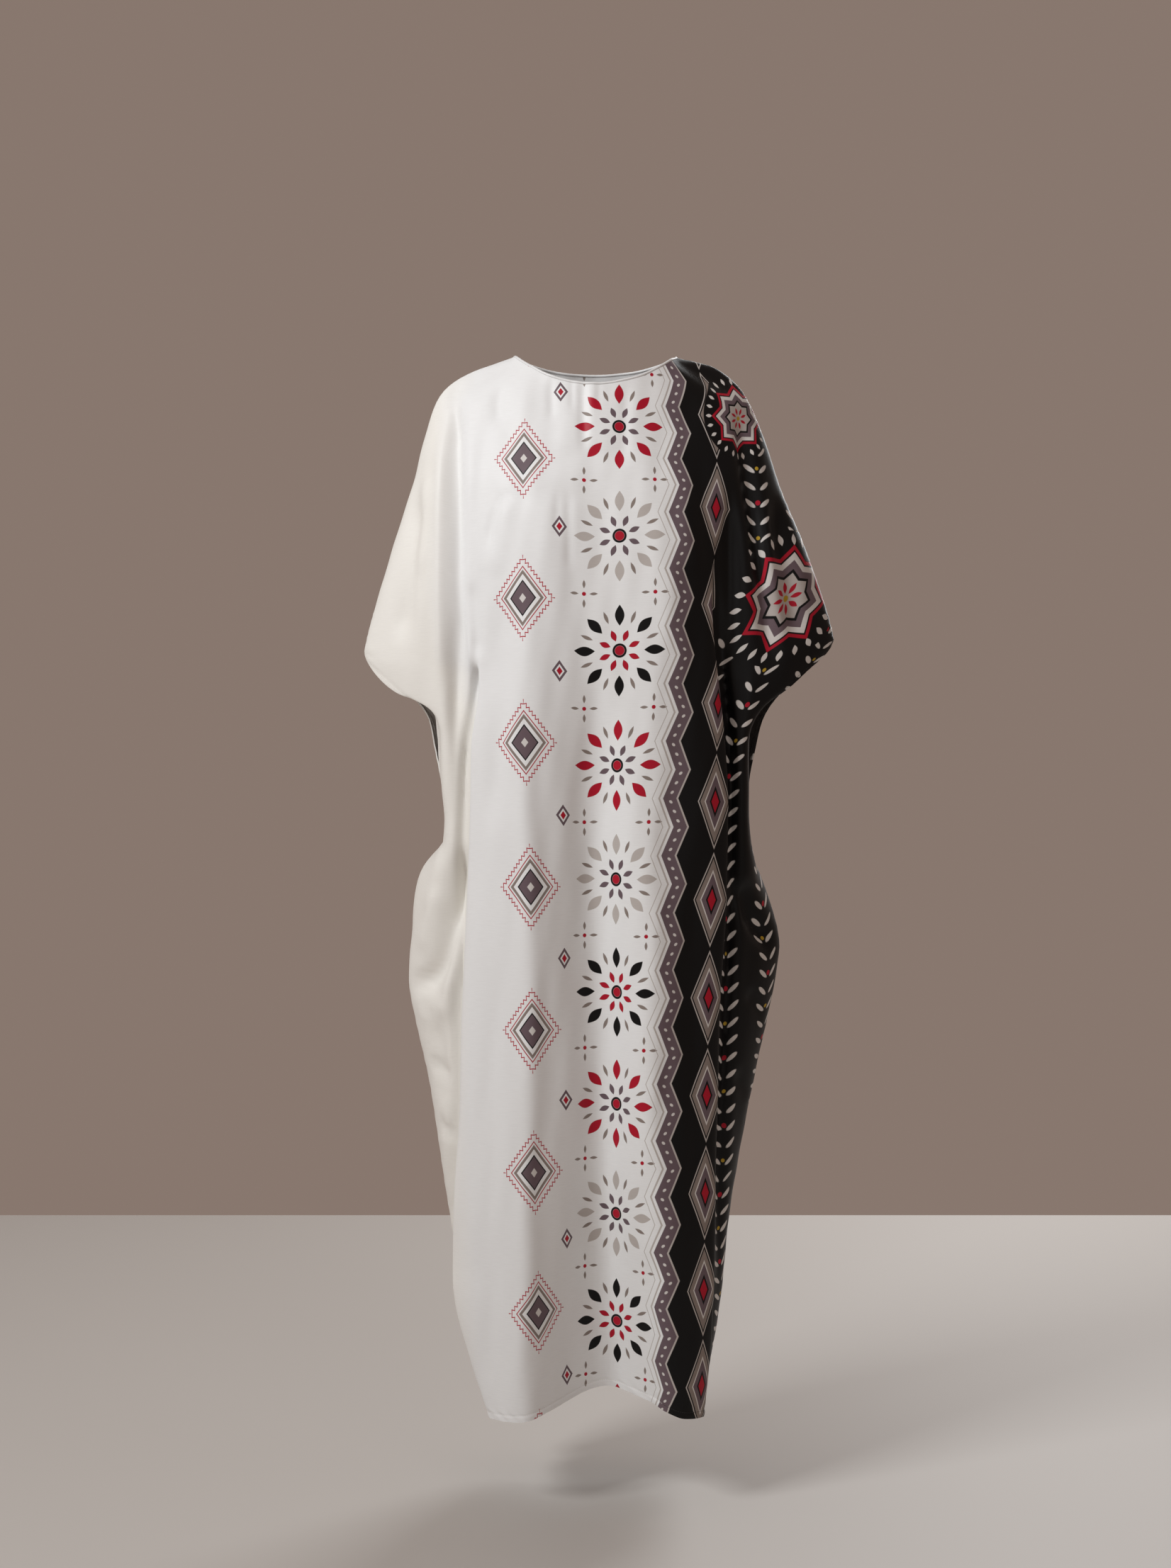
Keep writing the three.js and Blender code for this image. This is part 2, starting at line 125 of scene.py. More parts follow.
# The cut of both panels, worked out as on the real dress: the shoulder and sleeve line from the neck
# point to the sleeve corner, the free edge of the arm opening, and the side seam down to the hem.
# Tables are in millimetres, from the top down. Left is -X, as seen from the front.
MM = 0.001
SIDES = ("left", "right")
NECK_MIDDLE = -5
NECK = {"front": {"reach": -74, "drop": 45}, "back": {"reach": 62, "drop": 18}}
NECK_SQUARENESS = 2.2
NECK_ROUNDNESS = 0.55
SLEEVE_FORWARD = -6
SPAN_SAMPLES = 40  # straight steps that a smooth line is measured with, from one of its points to the next
ROWS = {"shoulder": 10, "opening": 7, "side": 16}
ROW_COUNT = sum(ROWS.values())
SHOULDER = {  # x, z
    "left": (
        (-115, 0), (-167, -18), (-195, -33), (-213, -52), (-232, -104),
        (-247, -164), (-267, -226), (-289, -298), (-308, -364), (-314, -391),
    ),
    "right": (
        (105, 0), (156, -14), (184, -36), (200, -60), (222, -113),
        (243, -176), (272, -245), (298, -317), (310, -357), (314, -375),
    ),
}
OPENING = {  # x, y, z
    "front": {
        "left": (
            (-307, -18, -408), (-281, -40, -437), (-257, -53, -451), (-232, -58, -455),
            (-219, -52, -468), (-214, -42, -500), (-211, -32, -555), (-203, -16, -605),
        ),
        "right": (
            (305, -18, -391), (275, -40, -418), (249, -53, -441), (222, -58, -459),
            (203, -52, -475), (197, -42, -505), (195, -32, -557), (191, -16, -603),
        ),
    },
    "back": {
        "left": (
            (-303, 22, -412), (-276, 46, -438), (-250, 60, -456), (-233, 64, -480),
            (-224, 58, -520), (-214, 42, -566), (-207, 20, -612),
        ),
        "right": (
            (300, 22, -398), (272, 46, -424), (245, 60, -450), (226, 64, -478),
            (214, 58, -520), (204, 42, -566), (198, 20, -612),
        ),
    },
}
SIDE = {  # x, y, z
    "left": (
        (-203, 2, -642), (-236, 6, -680), (-247, 8, -712), (-251, 9, -760), (-256, 10, -836),
        (-247, 10, -887), (-229, 8, -967), (-216, 6, -1050), (-201, 6, -1150), (-184, 4, -1250),
        (-160, 2, -1345), (-139, 0, -1402),
    ),
    "right": (
        (194, 2, -642), (222, 5, -704), (241, 8, -766), (243, 10, -790), (235, 10, -845),
        (214, 8, -942), (194, 6, -1042), (176, 4, -1150), (165, 2, -1259), (150, 1, -1350),
        (139, 0, -1400),
    ),
}


def hermite(a, b, slope_a, slope_b, t):
    """Cubic from a to b with the given end slopes, at share t."""
    t2, t3 = t * t, t * t * t
    return (
        a * (2 * t3 - 3 * t2 + 1) + b * (3 * t2 - 2 * t3) + slope_a * (t3 - 2 * t2 + t) + slope_b * (t3 - t2)
    )


def spline(points, counts):
    """Centripetal Catmull-Rom curve through points (..., n, 3), whose first and last are ghosts.

    Each knot step is the square root of the chord, and the tangent at a point is the mean of the two
    secants beside it, each weighted by the other one's step. counts gives the samples of each span.
    """
    chord = np.diff(points, axis=-2)
    step = np.sqrt(np.linalg.norm(chord, axis=-1, keepdims=True))
    secant = chord / step
    before, after = step[..., :-1, :], step[..., 1:, :]
    tangent = (secant[..., :-1, :] * after + secant[..., 1:, :] * before) / (before + after)
    spans = []
    for i, count in enumerate(counts):
        t = (np.arange(count + (i == len(counts) - 1)) / count)[:, None]
        run = step[..., i + 1, None, :]
        ends = [points[..., i + k, None, :] for k in (1, 2)]
        slopes = [tangent[..., i + k, None, :] * run for k in (0, 1)]
        spans.append(hermite(*ends, *slopes, t))
    return np.concatenate(spans, axis=-2)


def run_along(points, axis=0):
    """Length from the first point up to each point, along a line or along one axis of a grid."""
    steps = np.linalg.norm(np.diff(points, axis=axis), axis=-1)
    start = np.zeros_like(np.take(steps, [0], axis=axis))
    return np.concatenate((start, np.cumsum(steps, axis=axis)), axis=axis)


def sampled(where, run, values):
    """Rows of values at places along a run, straight between the rows that are there."""
    return np.stack([np.interp(where, run, column) for column in values.T], axis=-1)


def along(points, share):
    """Points at shares of the length of a smooth line through points, as (share count, 3)."""
    points = np.asarray(points, float)
    ghosts = (2 * points[:1] - points[1:2], 2 * points[-1:] - points[-2:-1])
    fine = spline(np.concatenate((ghosts[0], points, ghosts[1])), [SPAN_SAMPLES] * (len(points) - 1))
    run = run_along(fine)
    return sampled(share * run[-1], run, fine)


def side_edge(face, side, rows):
    """Side edge of a panel at each row: the shoulder line, then the arm opening, then the side seam."""
    line = SHOULDER[side]
    shoulder = [(x, SLEEVE_FORWARD * i / (len(line) - 1), z) for i, (x, z) in enumerate(line)]
    opening = [shoulder[-1], *OPENING[face][side], SIDE[side][0]]
    parts = (shoulder, opening, SIDE[side])
    starts = np.cumsum((0, *ROWS.values()))
    edge = np.zeros((len(rows), 3))
    for points, start, count in zip(parts, starts, ROWS.values()):
        here = (rows >= start) & (rows <= start + count)
        edge[here] = along(points, (rows[here] - start) / count)
    return edge


def neck_point(face, side, share):
    """Neckline point at a share of the half width: 0 in the middle, 1 at the neck point."""
    top_x, top_z = SHOULDER[side][0]
    rise = 1 - share**NECK_SQUARENESS
    return (
        NECK_MIDDLE + (top_x - NECK_MIDDLE) * share,
        NECK[face]["reach"] * rise**NECK_ROUNDNESS,
        top_z - NECK[face]["drop"] * rise,
    )


# The hang of the cloth: crease lines down each side of a panel, by height. From the side edge inwards
# they are the flank, the tuck behind the long body fold, the edge of that fold, the rounded lobe beside
# it, and the hollow in the middle, which deepens towards the hem.
NECK_SHARE = {"flank": 0.96, "tuck": 0.88, "fold": 0.76, "lobe": 0.5, "hollow": 0}
FOLD_COLUMN = {"fold": 1, "tuck": 3, "flank": 5}
FOLD = {  # z, fold x, fold y, tuck x, tuck y, flank x, flank y
    "front": {
        "left": (
            (-70, -134, -58, -168, -45, -200, -26), (-180, -150, -88, -190, -72, -228, -44),
            (-300, -152, -101, -196, -84, -250, -58), (-390, -150, -105, -176, -90, -226, -74),
            (-450, -156, -104, -150, -88, -204, -80), (-520, -167, -99, -130, -86, -194, -80),
            (-600, -170, -95, -120, -84, -192, -76), (-680, -172, -91, -116, -82, -194, -68),
            (-800, -177, -87, -114, -80, -200, -56), (-974, -182, -85, -122, -76, -198, -46),
            (-1116, -192, -77, -136, -72, -192, -36), (-1219, -195, -66, -144, -62, -180, -30),
            (-1340, -167, -72, -128, -62, -150, -30), (-1402, -146, -80, -112, -64, -132, -36),
        ),
        "right": (
            (-70, 124, -58, 158, -45, 188, -26), (-180, 140, -90, 176, -72, 218, -44),
            (-257, 143, -99, 158, -84, 232, -58), (-357, 147, -103, 134, -90, 222, -70),
            (-450, 156, -101, 118, -86, 196, -78), (-520, 164, -97, 112, -84, 186, -78),
            (-600, 168, -94, 108, -83, 186, -72), (-700, 166, -91, 106, -82, 190, -64),
            (-850, 159, -88, 104, -80, 186, -54), (-1000, 155, -87, 104, -78, 172, -46),
            (-1150, 152, -86, 106, -74, 158, -40), (-1290, 148, -83, 108, -66, 146, -36),
            (-1400, 138, -80, 106, -62, 130, -36),
        ),
    },
    "back": {
        "left": (
            (-70, -132, 46, -166, 35, -198, 20), (-180, -152, 84, -192, 67, -230, 42),
            (-300, -156, 100, -202, 82, -256, 52), (-430, -152, 107, -182, 93, -232, 72),
            (-540, -158, 108, -148, 90, -204, 80), (-680, -166, 107, -134, 87, -192, 76),
            (-830, -172, 104, -132, 84, -194, 66), (-1000, -170, 100, -134, 80, -190, 58),
            (-1150, -166, 96, -134, 76, -176, 52), (-1290, -154, 92, -128, 70, -154, 44),
            (-1402, -136, 86, -114, 66, -132, 42),
        ),
        "right": (
            (-70, 122, 46, 156, 35, 186, 20), (-180, 146, 84, 186, 67, 222, 42),
            (-300, 152, 100, 190, 82, 250, 52), (-430, 150, 108, 160, 93, 218, 74),
            (-540, 158, 109, 136, 91, 192, 80), (-680, 164, 108, 126, 88, 184, 74),
            (-830, 162, 106, 122, 86, 184, 64), (-1000, 158, 102, 122, 82, 172, 56),
            (-1150, 154, 98, 120, 78, 160, 50), (-1290, 148, 93, 118, 70, 146, 44),
            (-1400, 134, 88, 110, 66, 130, 42),
        ),
    },
}
LOBE = {  # z, x, y
    "front": {
        "left": (
            (-120, -74, -90), (-200, -86, -116), (-270, -90, -127), (-400, -94, -134),
            (-700, -100, -135), (-1000, -100, -130), (-1250, -104, -119), (-1399, -98, -112),
        ),
        "right": (
            (-120, 70, -90), (-200, 82, -116), (-270, 86, -127), (-400, 82, -134),
            (-700, 72, -135), (-1000, 74, -130), (-1250, 92, -120), (-1395, 108, -111),
        ),
    },
    "back": {
        "left": (
            (-110, -78, 82), (-200, -88, 104), (-320, -92, 112), (-500, -92, 116),
            (-700, -98, 122), (-1000, -96, 118), (-1400, -84, 108),
        ),
        "right": (
            (-110, 72, 82), (-200, 84, 104), (-320, 88, 112), (-500, 86, 117),
            (-700, 84, 123), (-1000, 90, 119), (-1399, 96, 107),
        ),
    },
}
HOLLOW = {  # z, x, y
    "front": (
        (-120, -4, -98), (-200, -6, -116), (-270, -8, -123), (-400, -12, -127), (-600, -8, -117),
        (-850, -2, -105), (-1050, 0, -90), (-1200, 4, -70), (-1371, 10, -42),
    ),
    "back": (
        (-110, -4, 86), (-200, -4, 98), (-320, -2, 104), (-500, 2, 107), (-750, 8, 110),
        (-1050, 14, 104), (-1388, 18, 90),
    ),
}


def by_height(table, column, z):
    """A table's column at heights z: a cubic whose slopes are harmonic means, so it never overshoots."""
    heights, values = table[:, 0], table[:, column]
    secant = np.diff(values) / np.diff(heights)
    a, b = secant[:-1], secant[1:]
    level = a * b <= 0
    inner = np.where(level, 0, 2 * a * b / np.where(level, 1, a + b))
    slope = np.concatenate((secant[:1], inner, secant[-1:]))
    held = np.clip(z, heights[-1], heights[0])
    i = np.clip(np.searchsorted(-heights, -held, side="right") - 1, 0, len(heights) - 2)
    run = heights[i + 1] - heights[i]
    return hermite(values[i], values[i + 1], slope[i] * run, slope[i + 1] * run, (held - heights[i]) / run)


def fall_share(edge, rows):
    """Share of its height that a side edge has come down; round the arm opening it goes on evenly."""
    fall = (edge[0, 2] - edge[:, 2]) / (edge[0, 2] - edge[-1, 2])
    top, foot = ROWS["shoulder"], ROWS["shoulder"] + ROWS["opening"]
    open_side = (rows > top) & (rows < foot)
    level = np.interp(rows, (top, foot), np.interp((top, foot), rows, fall))
    return np.where(open_side, level, fall)


def crease_points(face, side, rows):
    """Points of one half of a panel, (row, crease, 3), from the side edge to the hollow."""
    edge = side_edge(face, side, rows)
    beside = fall_share(edge, rows)
    lines = [edge]
    for name, share in NECK_SHARE.items():
        x, y, z = neck_point(face, side, share)
        if name in FOLD_COLUMN:
            at = FOLD_COLUMN[name]
            hang = np.array(FOLD[face][side], float)[:, [0, at, at + 1]]
        else:
            hang = np.array(LOBE[face][side] if name == "lobe" else HOLLOW[face], float)
        table = np.concatenate(([[z, x, y]], hang))
        lift = share**NECK_SQUARENESS
        height = z + (table[-1, 0] - z) * ((1 - lift) * rows / ROW_COUNT + lift * beside)
        lines.append(np.stack([by_height(table, 1, height), by_height(table, 2, height), height], axis=-1))
    return np.stack(lines, axis=1)


def openness(rows):
    """0 where the side is sewn, rising to 1 half way down the arm opening."""
    share = np.clip((rows - ROWS["shoulder"]) / ROWS["opening"], 0, 1)
    return np.sqrt(np.maximum(np.sin(np.pi * share), 0))


def hang_of(face, rows, counts):
    """Outer surface of a panel in millimetres, (row, column, 3), from the left side edge to the right."""
    other = "back" if face == "front" else "front"
    left, right = (crease_points(face, side, rows) for side in SIDES)
    ghosts = []
    for side, own in zip(SIDES, (left, right)):
        beyond = crease_points(other, side, rows)[:, 1]
        straight = 2 * own[:, 0] - own[:, 1]
        ghosts.append((beyond + (straight - beyond) * openness(rows)[:, None])[:, None])
    keys = np.concatenate((ghosts[0], left, right[:, -2::-1], ghosts[1]), axis=1)
    return spline(keys, [*counts, *counts[::-1]])


# The soft creases that lie on the hang, placed one by one as in the photograph: a valley, or a ridge
# where the depth is below zero, along a line of points of the front or back view. Body creases lie
# between the long folds, side creases from the tucks outwards. The hidden side has ones like them.
CREASES = {  # width, depth, then x, z from the top down
    "front": {
        "body": (
            # the gathers below the neckline, then the folds that start under them
            (9, 2.4, (-133, -40), (-131, -98)), (6, 2, (-64, -34), (-62, -92)),
            (4.5, 1.5, (-37, -36), (-35, -80)), (7, 3.2, (-22, -34), (-20, -138)),
            (4.5, 1.2, (0, -40), (-2, -78)), (7, 1.6, (36, -40), (32, -150)),
            (12, 2, (-70, -142), (-10, -138), (50, -142)), (13, 1.5, (-118, -196), (-60, -190), (-10, -196)),
            (6, 2.6, (-104, -190), (-128, -197), (-139, -226), (-143, -262)),
            (6, 1.8, (-40, -182), (-39, -295)), (5, 1.2, (-54, -188), (-56, -245)),
            (16, -3, (-122, -190), (-138, -300)), (16, -3, (112, -180), (124, -300)),
            (10, 4, (-168, -300), (-162, -360), (-158, -405)),
            # the hollow down the middle and the soft folds beside it
            (28, 13, (-10, -330), (-2, -850), (0, -1400)), (14, -5, (-96, -480), (-87, -860), (-100, -1400)),
            (18, 4, (-122, -300), (-138, -640)), (16, 3, (-138, -760), (-146, -1400)),
            (18, 3.5, (94, -500), (88, -1100)), (16, 4, (120, -640), (126, -1160)),
            (16, 4, (62, -1160), (68, -1430)),
        ),
        "side": (
            # left sleeve: the ridge and the deep valley down it, and the slack near the free edge
            (9, -5, (-205, -80), (-209, -200), (-209, -330), (-206, -450)),
            (11, 12, (-191, -40), (-190, -140), (-184, -240), (-183, -340), (-186, -410), (-182, -520)),
            (6, 4, (-192, -24), (-191, -75), (-190, -130)),
            (13, 7, (-236, -180), (-250, -290), (-263, -390)), (9, -4, (-224, -150), (-238, -300)),
            # left flank: the valleys beside the body fold, and the narrow strip that stands between them
            (10, 4, (-168, -300), (-162, -360), (-158, -405)),
            (5.5, -3, (-169, -350), (-167, -440), (-172, -540)),
            (8, 4, (-188, -400), (-191, -540), (-194, -660)),
            (4.5, 5, (-170, -500), (-174, -600), (-178, -700), (-182, -860), (-187, -1000), (-196, -1120),
             (-199, -1230)),
            (7, 10, (-148, -330), (-162, -440), (-176, -540), (-183, -640), (-186, -740), (-188, -820)),
            (6, 4, (-187, -760), (-190, -880), (-195, -1030), (-203, -1180)),
            (12, -5, (-214, -400), (-199, -500), (-203, -620), (-220, -740)),
            # below the arm opening and down to the hem
            (13, 14, (-178, -640), (-185, -690), (-192, -735), (-200, -780), (-210, -810), (-226, -828),
             (-250, -838), (-285, -846)),
            (12, -3.5, (-202, -856), (-222, -870), (-246, -876)),
            (9, -5, (-184, -740), (-193, -790), (-200, -836), (-206, -890)),
            (12, -5, (-214, -700), (-226, -750), (-243, -795)), (10, 4, (-216, -880), (-206, -1000)),
            (6, 3, (-242, -862), (-216, -876)), (7, 5, (-228, -938), (-196, -958)),
            (6, 5, (-217, -1020), (-206, -1028), (-193, -1036)), (8, 4, (-188, -1128), (-207, -1152)),
            (9, 4, (-168, -1240), (-187, -1276)),
            # right sleeve
            (11, 12, (184, -50), (202, -200), (228, -420)), (10, 6, (168, -160), (172, -300), (172, -430)),
            (13, 9, (232, -180), (262, -390)),
            # right flank
            (7, 9, (151, -230), (157, -360), (166, -450), (174, -560), (178, -700), (170, -850),
             (166, -1000), (163, -1150), (158, -1330)),
            (12, -5, (204, -400), (190, -500), (192, -620), (206, -720)),
            (11, 12, (186, -690), (202, -746), (236, -792)), (9, 4, (196, -842), (226, -880)),
            (9, 4, (182, -950), (206, -986)), (8, 4, (172, -1092), (192, -1122)),
        ),
    },
    "back": {
        "body": (
            (18, -3, (-96, -120), (-100, -260)), (18, -3, (88, -120), (92, -260)),
            (9, 1.6, (-30, -24), (-34, -140)), (9, 1.6, (24, -24), (22, -150)),
            (24, 9, (-46, -420), (-42, -800), (-38, -1220)), (20, 8, (54, -360), (52, -1000)),
            (26, 8, (8, -240), (10, -700), (16, -1430)), (18, 4, (-104, -360), (-116, -900)),
            (18, 4, (112, -420), (104, -1100)), (16, 4, (-96, -1040), (-100, -1430)),
            (16, 4, (84, -1080), (86, -1430)),
        ),
        "side": (
            (14, 6, (-208, -70), (-222, -230), (-234, -420)),
            (10, 5, (-182, -200), (-186, -380), (-178, -540)),
            (14, 6, (200, -70), (212, -230), (226, -410)), (10, 5, (172, -200), (176, -380), (168, -540)),
            (7, 9, (-160, -420), (-168, -540), (-177, -680), (-183, -830), (-181, -1000), (-176, -1150),
             (-164, -1310)),
            (7, 9, (160, -420), (168, -540), (175, -680), (172, -830), (168, -1000), (164, -1150),
             (158, -1310)),
            (12, -4, (-214, -420), (-204, -520), (-212, -660)),
            (12, -4, (206, -420), (196, -520), (204, -660)),
            (12, 10, (-196, -716), (-214, -786), (-248, -842)),
            (12, 10, (190, -712), (208, -766), (238, -800)),
            (9, 4, (-206, -940), (-230, -972)), (9, 4, (188, -930), (212, -966)),
            (8, 3, (-190, -1100), (-208, -1128)), (8, 3, (172, -1110), (188, -1136)),
        ),
    },
}
CREASE_FADE = 0.07  # share of the panel's width over which a crease dies out towards a side edge
TUCK = {"place": 0.2, "width": 0.07}  # where the cloth doubles back, in shares from either side edge
BODY_START = {"place": 0.2, "width": 0.1}  # where side creases give way to body creases
CREASE_ENDS = 0.22  # share of its own length over which it rises at either end
WAVES = (  # amplitude, wavelength across, wavelength down, phase: the slack that satin keeps
    (0.9, 134, 610, 0.4), (0.6, 82, -430, 2.1), (0.35, 47, 260, 4.0), (0.2, 29, -170, 1.2),
)


def smooth_step(value):
    """The cubic 3s^2 - 2s^3 of a value s held between 0 and 1."""
    share = np.clip(value, 0, 1)
    return share * share * (3 - 2 * share)


def crease_depth(table, points):
    """Depth at each point: a bell across the nearest stretch of each line, rising softly from its ends."""
    place = points[..., [0, 2]]
    depth = np.zeros(place.shape[:-1])
    for width, deep, *line in table:
        line = np.array(line, float)
        steps = np.diff(line, axis=0)
        lengths = np.linalg.norm(steps, axis=1)
        gap, run = np.full(depth.shape, np.inf), np.zeros(depth.shape)
        for start, step, length, before in zip(line, steps, lengths, np.cumsum(lengths) - lengths):
            share = np.clip((place - start) @ step / length**2, 0, 1)
            away = np.linalg.norm(place - start - share[..., None] * step, axis=-1)
            run = np.where(away < gap, before + share * length, run)
            gap = np.minimum(gap, away)
        run /= lengths.sum()
        depth += deep * smooth_step(np.minimum(run, 1 - run) / CREASE_ENDS) * np.exp(-((gap / width) ** 2))
    return depth


def slack(points):
    """Height of the cloth's own unevenness: a few long sine waves, mostly running down the dress."""
    x, z = points[..., 0], points[..., 2]
    return sum(
        height * np.sin(2 * np.pi * (x / across + z / down) + phase) for height, across, down, phase in WAVES
    )


def grid_normals(grid, facing):
    """Unit normals out of the dress: the cross product of the steps across and down the grid."""
    normal = np.cross(np.gradient(grid, axis=1), np.gradient(grid, axis=0)) * facing
    return normal / np.linalg.norm(normal, axis=-1, keepdims=True)


FACING = {"front": -1, "back": 1}
ROW_STEP = 0.2  # row lines of the fine grid, in rows of the cut
SPAN_COLUMNS = 24  # columns between two creases
SEAM_HALF_GAP = 0.2
SEAM_DITCH = {"depth": 0.7, "width": 2.2}
PUCKER = {"height": 0.35, "wavelength": 13, "reach": 12, "slant": 0.8, "start": 5}  # seams and turnings
TURNING = {"height": 10, "stitch_line": 8.5, "rise": 0.3, "step": 2}  # hem and cuffs, folded in
STITCH_DITCH = {"depth": 0.48, "width": 1.2}
FOLD_START = (8.8, 13)  # rows where the long folds bend aside, with twice the row lines
HEM_LINES_UP = (12, 11, 10, 9.3, 8.5, 7.7, 6, 4, 2, 0.7)  # extra row lines above the hem
ROW_HEIGHT = 42.5


def fine_rows():
    """Rows of the fine grid: even ones, twice as many where the folds bend aside, and those at the hem."""
    even = np.arange(round(ROW_COUNT / ROW_STEP) + 1) * ROW_STEP
    between = np.arange(FOLD_START[0] + ROW_STEP / 2, FOLD_START[1], ROW_STEP)
    foot = ROW_COUNT - np.array(HEM_LINES_UP) / ROW_HEIGHT
    return np.unique(np.round(np.concatenate((even, between, foot)), 6))


def is_sewn(rows):
    """Whether the side edges are sewn at a row: everywhere but round the arm opening."""
    return (rows <= ROWS["shoulder"]) | (rows >= ROWS["shoulder"] + ROWS["opening"])


def from_edges(grid):
    """Run over the cloth from each point to the nearer side edge, and down to the hem."""
    across = run_along(grid, axis=1)
    down = run_along(grid, axis=0)
    return np.minimum(across, across[:, -1:] - across), down[-1] - down


def turned(grid):
    """How far each point is from a stitched turning's edge: the hem, or the free edge of a sleeve."""
    side, hem = from_edges(grid)
    cuff = np.where(is_sewn(fine_rows())[:, None], np.inf, side)
    return np.minimum(hem, cuff)


def draped(face):
    """Creased outer surface and its normals, in millimetres: the hang, moved along its normals.

    The move is the slack less the creases, less a ditch along seams and stitches, with the turnings'
    extra layer and a fine pucker beside them.
    """
    grid = hang_of(face, fine_rows(), [SPAN_COLUMNS] * 5)
    share = np.linspace(0, 1, grid.shape[1])
    inwards = np.minimum(share, 1 - share)
    fade = smooth_step(inwards / CREASE_FADE)
    body = smooth_step((inwards - BODY_START["place"]) / BODY_START["width"])
    tuck = np.exp(-(((inwards - TUCK["place"]) / TUCK["width"]) ** 2))
    creases = crease_depth(CREASES[face]["body"], grid) * body
    creases += crease_depth(CREASES[face]["side"], grid) * (1 - body)
    height = (slack(grid) * (1 - tuck) - creases) * fade
    side, hem = from_edges(grid)
    seam = np.where(is_sewn(fine_rows())[:, None], side, np.inf)
    height -= SEAM_DITCH["depth"] * np.exp(-((seam / SEAM_DITCH["width"]) ** 2))
    edge = turned(grid)
    stitched = np.abs(edge - TURNING["stitch_line"])
    height += TURNING["rise"] * smooth_step((TURNING["height"] - edge) / TURNING["step"])
    height -= STITCH_DITCH["depth"] * np.exp(-((stitched / STITCH_DITCH["width"]) ** 2))
    near = np.minimum(seam, stitched)
    waves = np.sin(2 * np.pi * (grid[..., 0] * PUCKER["slant"] + grid[..., 2]) / PUCKER["wavelength"])
    pucker = PUCKER["height"] * np.exp(-((near / PUCKER["reach"]) ** 2))
    height += pucker * waves * smooth_step(seam / PUCKER["start"])
    grid = grid + grid_normals(grid, FACING[face]) * height[..., None]
    return grid, grid_normals(grid, FACING[face])


def sewn_together(front, back):
    """Both panels drawn back from their seams by half the gap, with one shared normal along each."""
    sewn = is_sewn(fine_rows())
    for edge, beside in ((0, 1), (-1, -2)):
        run = front[0][sewn, beside] - back[0][sewn, beside]
        shared = front[1][sewn, edge] + back[1][sewn, edge]
        shared /= np.linalg.norm(shared, axis=-1, keepdims=True)
        run -= shared * np.sum(run * shared, axis=-1, keepdims=True)
        run *= SEAM_HALF_GAP / np.linalg.norm(run, axis=-1, keepdims=True)
        front[0][sewn, edge] += run
        back[0][sewn, edge] -= run
        front[1][sewn, edge] = back[1][sewn, edge] = shared
    return front, back


def cloth_coordinates(grid):
    """Place of each point on the flat cloth, in metres: across from the middle, and down from the neck.

    Across is the run along the row seen from above, from where it crosses x = 0. Down is the run along
    the column seen from the side, from the shoulder level.
    """
    across = run_along(grid[..., :2], axis=1)
    half = grid.shape[1] // 2
    near = slice(half - SPAN_COLUMNS, half + SPAN_COLUMNS + 1)
    middle = [np.interp(0, xs, run) for xs, run in zip(grid[:, near, 0], across[:, near])]
    down = run_along(grid[..., 1:], axis=0) - grid[0, :, 2]
    return (across - np.array(middle)[:, None]) * MM, down * MM


front, back = sewn_together(draped("front"), draped("back"))


# The satin crepe that both panels are cut from: ivory on one side and black on the other, printed with
# star flowers, toothed lozenges, a zigzag border with a lozenge chain, leaf vines and star medallions.
# The pattern is worked out in metres of flat cloth, so it bends and hides with the folds.
IVORY = linear("eeefef")
WARM_LIGHT_CREAM = linear("f0eee8")
BLACK = linear("0b0a0b")
CRIMSON = linear("b0142c")
MAUVE = linear("6b5b61")
TAUPE = linear("8c8079")
PALE = linear("bdb6b1")
SILVER = linear("d9d5d1")
OCHRE = linear("b9982e")
PRINT_SOFTNESS = 0.0007


def feed(tree, value, slot):
    """Links a field or a socket to a node's slot, or sets the slot to a plain value."""
    socket = getattr(value, "socket", value)
    if isinstance(socket, bpy.types.NodeSocket):
        tree.links.new(socket, slot)
    else:
        slot.default_value = value


class Field:
    """A value that varies over the cloth, held by a socket of math nodes."""

    def __init__(self, tree, socket):
        self.tree = tree
        self.socket = socket

    def op(self, kind, *others, clamp=False):
        node = self.tree.nodes.new("ShaderNodeMath")
        node.operation = kind
        node.use_clamp = clamp
        for slot, value in zip(node.inputs, (self, *others)):
            feed(self.tree, value, slot)
        return Field(self.tree, node.outputs[0])

    def __add__(self, other):
        return self.op("ADD", other)

    def __sub__(self, other):
        return self.op("SUBTRACT", other)

    def __mul__(self, other):
        return self.op("MULTIPLY", other)

    def above(self, edge):
        """1 where the value is over edge and 0 below it, with a soft step."""
        return self.op("MULTIPLY_ADD", 1 / PRINT_SOFTNESS, 0.5 - edge / PRINT_SOFTNESS, clamp=True)

    def below(self, edge):
        """1 where the value is under edge and 0 above it, with a soft step."""
        return self.op("MULTIPLY_ADD", -1 / PRINT_SOFTNESS, 0.5 + edge / PRINT_SOFTNESS, clamp=True)

    def band(self, low, high):
        """1 between low and high: below half the width in distance from the middle."""
        return (self - (low + high) / 2).op("ABSOLUTE").below((high - low) / 2)

    def cell(self, pitch, start=0.0):
        """Distance from the middle of the repeat, and the number of the repeat."""
        turn = self.op("MULTIPLY_ADD", 1 / pitch, -start / pitch)
        number = turn.op("FLOOR")
        return (turn - number).op("MULTIPLY_ADD", pitch, -pitch / 2), number

    def zigzag(self, pitch):
        """Distance from the nearest whole repeat: 0 to half the pitch and back."""
        return self.op("PINGPONG", pitch / 2)


def polar(x, y):
    """Distance and angle of a place whose two coordinates are x and y."""
    return (x * x).op("ADD", y * y).op("SQRT"), y.op("ARCTAN2", x)


